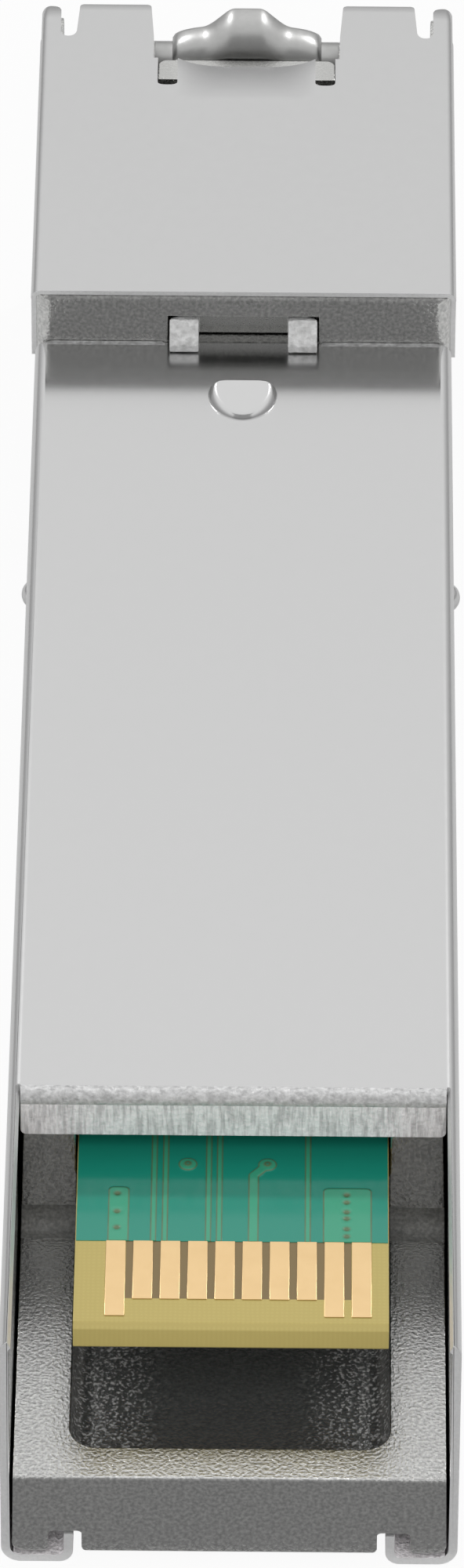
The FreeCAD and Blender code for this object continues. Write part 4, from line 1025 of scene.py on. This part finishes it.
nose_section, to_nose = bent(
    [(-NOSE_X, NOSE_LOW_Z), (-NOSE_X, NOSE_Z), (NOSE_X, NOSE_Z), (NOSE_X, NOSE_LOW_Z)], (NOSE_BEND, NOSE_BEND)
)
cut_z = NOSE_Z - NOSE_BEND - SETBACK_SLANT
skirt_cut = [(-NOSE_X, cut_z), (NOSE_X, cut_z)]
nose_section = np.insert(nose_section, [1, -1], skirt_cut, axis=0)
to_nose = np.insert(to_nose, [1, -1], to_nose[[0, -1]], axis=0)
face_x = np.concatenate(
    [
        spread(0, TONGUE_X)[1:],
        spread(TONGUE_X, SLOT_X)[1:],
        spread(NOTCH_X, TAB_X),
        spread(TAB_X, PRONG_X)[1:],
        np.linspace(PRONG_X, NOSE_X - NOSE_BEND, EDGE_COLUMNS)[1:-1],
    ]
)
on_face = nose_section[:, 1] > NOSE_Z - SAME_POINT
across, inwards = with_columns(nose_section, to_nose, on_face, np.concatenate([-face_x[::-1], [0], face_x]))
off_middle = np.abs(across[:, 0])


def between(low, high):
    """Which columns of the upper face lie between two distances from the middle."""
    within_limits = (off_middle > low - SAME_POINT) & (off_middle < high + SAME_POINT)
    return within_limits & (across[:, 1] > NOSE_Z - NOSE_BEND)


in_tongue = between(0, TONGUE_X)
in_slot = between(TONGUE_X, SLOT_X)
in_tab = between(NOTCH_X, TAB_X)
in_gap = between(TAB_X, PRONG_X)
in_prong = between(PRONG_X, PRONG_END_X)
body_y = np.concatenate(
    [
        [NOSE_BACK_Y],
        np.linspace(BOWL_Y, TONGUE_Y, BOWL_ROWS, endpoint=False),
        np.linspace(TONGUE_Y, NOTCH_Y, TONGUE_ROWS + 1),
        [FINGER_Y - FINGER_ROOT],
    ]
)
slot_row = 1 + BOWL_ROWS
notch_row = slot_row + TONGUE_ROWS
body_rows = len(body_y)
nose_out = np.empty((body_rows + FINGER_ROWS, len(across), 3))
nose_out[..., 0] = across[:, 0]
nose_out[..., 2] = across[:, 1]
nose_out[:body_rows, :, 1] = body_y[:, None]
nose_out[body_rows:, :, 1] = FINGER_Y
below_bend = across[:, 1] < NOSE_Z - NOSE_BEND - SETBACK_SLANT / 2
nose_out[0, below_bend, 1] = NOSE_SKIRT_Y
slot_share = (off_middle[in_slot] - (TONGUE_X + SLOT_X) / 2) / ((SLOT_X - TONGUE_X) / 2)
slot_round = np.sqrt(np.clip(1 - np.abs(slot_share) ** SLOT_POWER, 0, 1))
nose_out[slot_row, in_slot, 1] += SLOT_ROOT * (1 - slot_round)
tilt = np.zeros(nose_out.shape[:2])
bowl = slice(1, notch_row + 1)
bowl_share = 1 - (off_middle[in_tongue] / TONGUE_X) ** BOWL_POWER
dip = np.arcsin((body_y[bowl] - BOWL_Y) / BOWL_RADIUS)[:, None]
nose_out[bowl, in_tongue, 2] -= BOWL_RADIUS * (1 - np.cos(dip)) * bowl_share
tilt[bowl, in_tongue] = dip * bowl_share
gap_half = (PRONG_X - TAB_X) / 2
gap_share = (off_middle[in_gap] - TAB_X - gap_half) / gap_half
root = np.zeros(len(across))
root[in_gap] = gap_half * (1 - np.sqrt(np.clip(1 - gap_share**2, 0, 1)))
nose_out[body_rows, :, 1] += root
for in_finger, *sizes in (
    (in_tab, NOTCH_X, TAB_X, TAB_CORNER, TAB_TAPER, TAB_CURL, TAB_RADIUS),
    (in_prong, PRONG_X, PRONG_END_X, PRONG_CORNER, 0.0, PRONG_CURL, PRONG_RADIUS),
):
    places = finger(off_middle[in_finger], root[in_finger], *sizes)
    nose_out[body_rows:, in_finger, 0] = np.sign(across[in_finger, 0]) * places[..., 0]
    nose_out[body_rows:, in_finger, 1] = places[..., 1]
    nose_out[body_rows:, in_finger, 2] -= places[..., 2]
    tilt[body_rows:, in_finger] = places[..., 3]
nose_in = nose_out.copy()
nose_in[..., 0] += NOSE_SHEET * inwards[:, 0]
nose_in[..., 1] += NOSE_SHEET * inwards[:, 1] * np.sin(tilt)
nose_in[..., 2] += NOSE_SHEET * inwards[:, 1] * np.cos(tilt)


def cells(chosen):
    """Which cells of a row lie between two chosen columns."""
    return chosen[1:] & chosen[:-1]


kept = np.ones((body_rows + FINGER_ROWS - 1, len(across) - 1), bool)
kept[slot_row:notch_row] = ~cells(in_slot)
kept[notch_row:body_rows] = ~cells(between(0, NOTCH_X))
kept[body_rows:] = cells(in_tab) | cells(in_prong)
# The same bright-rolled stainless as the cover, but a thinner and slightly darker sheet
thin_steel = mottled("thin_bright_rolled_stainless", 0.3, ("#cccccc", "#cfcfcf"), (0.18, 0.21), 0.0, 1.0)
nose_shape = sheet(nose_out, nose_in, kept)
piece(
    "nose_sheet",
    nose_shape,
    "housing",
    [thin_steel, sheared_steel],
    "nose_cover",
    worked=True,
    finishes=(np.arange(len(nose_shape[1])) >= 2 * kept.sum()).astype(int),
)

# Floor: plain white paper under the module. The camera sees most of it as plain white, with the shadow
# kept. The sizes of the floor, the lamps and the card are in metres.
FLOOR_HALF = 0.3
FLOOR_GAP = 0.02 * MM
CAMERA_WHITE = 0.93
floor_mesh = bpy.data.meshes.new("floor")
floor_corners = FLOOR_HALF * np.array([(-1, -1, 0), (1, -1, 0), (1, 1, 0), (-1, 1, 0)]) - (0, 0, FLOOR_GAP)
floor_mesh.from_pydata(floor_corners, [], [(0, 1, 2, 3)])
floor = placed("floor", floor_mesh)
paper, tree, _ = begin("white_paper")
rays = add(tree, "LightPath")
white = add(tree, "Emission", {"Color": (1, 1, 1, 1), "Strength": 1.0})
matt = add(tree, "BsdfDiffuse", {"Color": linear("#e6e6e6")})
share = add(tree, "Math", {0: rays.outputs["Is Camera Ray"], 1: CAMERA_WHITE}, operation="MULTIPLY")
surface = add(tree, "MixShader", {0: share, 1: matt, 2: white})
add(tree, "OutputMaterial", {"Surface": surface})
floor_mesh.materials.append(paper)

# Studio: white all round for the camera. Reflections show it falling off to grey towards the horizon, and
# plain light gets less of it, so lamps shape the object: two small ones beyond it, a broad one by the camera.
SKY_LIGHT = 0.42
HORIZON_LIGHT = 0.45
HORIZON_UP = math.sin(math.radians(8))
BRIGHT_UP = math.sin(math.radians(41))
world = bpy.data.worlds.new("studio")
world.use_nodes = True
tree = world.node_tree
tree.nodes.clear()
rays = add(tree, "LightPath").outputs
towards = add(tree, "SeparateXYZ", {0: add(tree, "TexCoord").outputs["Generated"]})
fall = {"Value": towards.outputs[2], "From Min": HORIZON_UP, "From Max": BRIGHT_UP, "To Min": HORIZON_LIGHT}
level = SKY_LIGHT
for kind, light in (
    ("Is Glossy Ray", add(tree, "MapRange", fall)),
    ("Is Transmission Ray", 1.0),
    ("Is Camera Ray", 1.0),
):
    level = add(tree, "Mix", {0: rays[kind], 2: level, 3: light}, data_type="FLOAT")
sky = add(tree, "Background", {"Color": (1, 1, 1, 1), "Strength": level})
add(tree, "OutputWorld", {"Surface": sky})
bpy.context.scene.world = world
for name, spot, size, power, in_metal in (
    ("left_light", (-0.2, 0.27, 0.36), 0.035, 0.42, True),
    ("right_light", (0.2, 0.27, 0.36), 0.035, 0.42, True),
    ("fill_light", (0.0, -0.32, 0.28), 0.3, 0.75, False),
):
    lamp = bpy.data.lights.new(name, "AREA")
    lamp.size = size
    lamp.energy = power
    stand = placed(name, lamp)
    stand.location = spot
    stand.rotation_mode = "QUATERNION"
    stand.rotation_quaternion = Vector(spot).to_track_quat("Z", "Y")
    stand.visible_glossy = in_metal

# Grey card: a bent sheet of card on the camera's side and overhead, which only reflections see. The upright
# and sloping faces of the metal are dark in it, and its level faces, which show what lies ahead, are bright.
CARD_NEAR_HALF = 0.03
CARD_FAR_HALF = 0.25
CARD_NEAR = 0.0322
CARD_FAR = 0.30
CARD_BEND = 0.12
CARD_HEIGHT = 0.34
CARD_VAULT = 0.1
CARD_VAULT_TURN = math.radians(55)
CARD_LIFT = 0.05 * MM
CARD_STEPS = 13
turn = np.linspace(0, math.pi / 2, CARD_STEPS)
vault = np.linspace(0, CARD_VAULT_TURN, CARD_STEPS)
card_y = np.concatenate(
    [[-CARD_NEAR], CARD_BEND - CARD_FAR - CARD_BEND * np.sin(turn), -CARD_FAR * np.cos(vault)]
)
card_z = np.concatenate(
    [[CARD_LIFT], CARD_LIFT + CARD_BEND * (1 - np.cos(turn)), CARD_HEIGHT + CARD_VAULT * np.sin(vault)]
)
card_half = np.interp(-card_y, [CARD_NEAR, CARD_FAR], [CARD_NEAR_HALF, CARD_FAR_HALF])
card_half[-len(vault) :] = CARD_FAR_HALF
card_grid = np.empty((len(card_y), 2, 3))
card_grid[..., 0] = card_half[:, None] * np.array([-1.0, 1.0])
card_grid[..., 1] = card_y[:, None]
card_grid[..., 2] = card_z[:, None]
number = np.arange(2 * len(card_y)).reshape(-1, 2)
card_mesh = bpy.data.meshes.new("card")
card_mesh.from_pydata(
    card_grid.reshape(-1, 3),
    [],
    np.stack([number[:-1, 0], number[:-1, 1], number[1:, 1], number[1:, 0]], axis=1),
)
card = placed("card", card_mesh)
card.visible_camera = False
card.visible_diffuse = False
card.visible_shadow = False
card.visible_transmission = False
# Grey card: it glows on its own, as painted light, slightly lighter from one height, in millimetres, to the
# other
CARD_DARK_Z = 20.0
CARD_LIGHT_Z = 150.0
grey_card, tree, place = begin("grey_card")
height = add(tree, "SeparateXYZ", {0: place}).outputs[2]
lighter = add(tree, "MapRange", {"Value": height, "From Min": CARD_DARK_Z, "From Max": CARD_LIGHT_Z})
shade = add(tree, "Mix", {0: lighter, 6: linear("#8e8e8e"), 7: linear("#a3a3a3")}, data_type="RGBA")
grey = add(tree, "Emission", {"Color": shade.outputs[2], "Strength": 1.0})
add(tree, "OutputMaterial", {"Surface": grey})
card_mesh.materials.append(grey_card)

# Camera: behind the connector end and above it, as in the photograph
CAMERA_PLACE = Vector((1.336, -274.419, 226.723)) * MM
CAMERA_AZIMUTH = math.radians(-0.3215)
CAMERA_ELEVATION = math.radians(39.1381)
CAMERA_ROLL = math.radians(0.2788)
CAMERA_LENS = 260.915
SENSOR_WIDTH = 36
camera = placed("camera", bpy.data.cameras.new("camera"))
camera.data.lens = CAMERA_LENS
camera.data.sensor_width = SENSOR_WIDTH
camera.data.clip_start = 0.01
ahead = Vector(
    (
        math.sin(CAMERA_AZIMUTH) * math.cos(CAMERA_ELEVATION),
        math.cos(CAMERA_AZIMUTH) * math.cos(CAMERA_ELEVATION),
        -math.sin(CAMERA_ELEVATION),
    )
)
level_right = Vector((math.cos(CAMERA_AZIMUTH), -math.sin(CAMERA_AZIMUTH), 0))
level_up = level_right.cross(ahead)
right = level_right * math.cos(CAMERA_ROLL) + level_up * math.sin(CAMERA_ROLL)
up = level_up * math.cos(CAMERA_ROLL) - level_right * math.sin(CAMERA_ROLL)
turn = Matrix((right, up, -ahead)).transposed()
camera.matrix_world = Matrix.Translation(CAMERA_PLACE) @ turn.to_4x4()
bpy.context.scene.camera = camera
bpy.context.scene.view_settings.view_transform = "Standard"
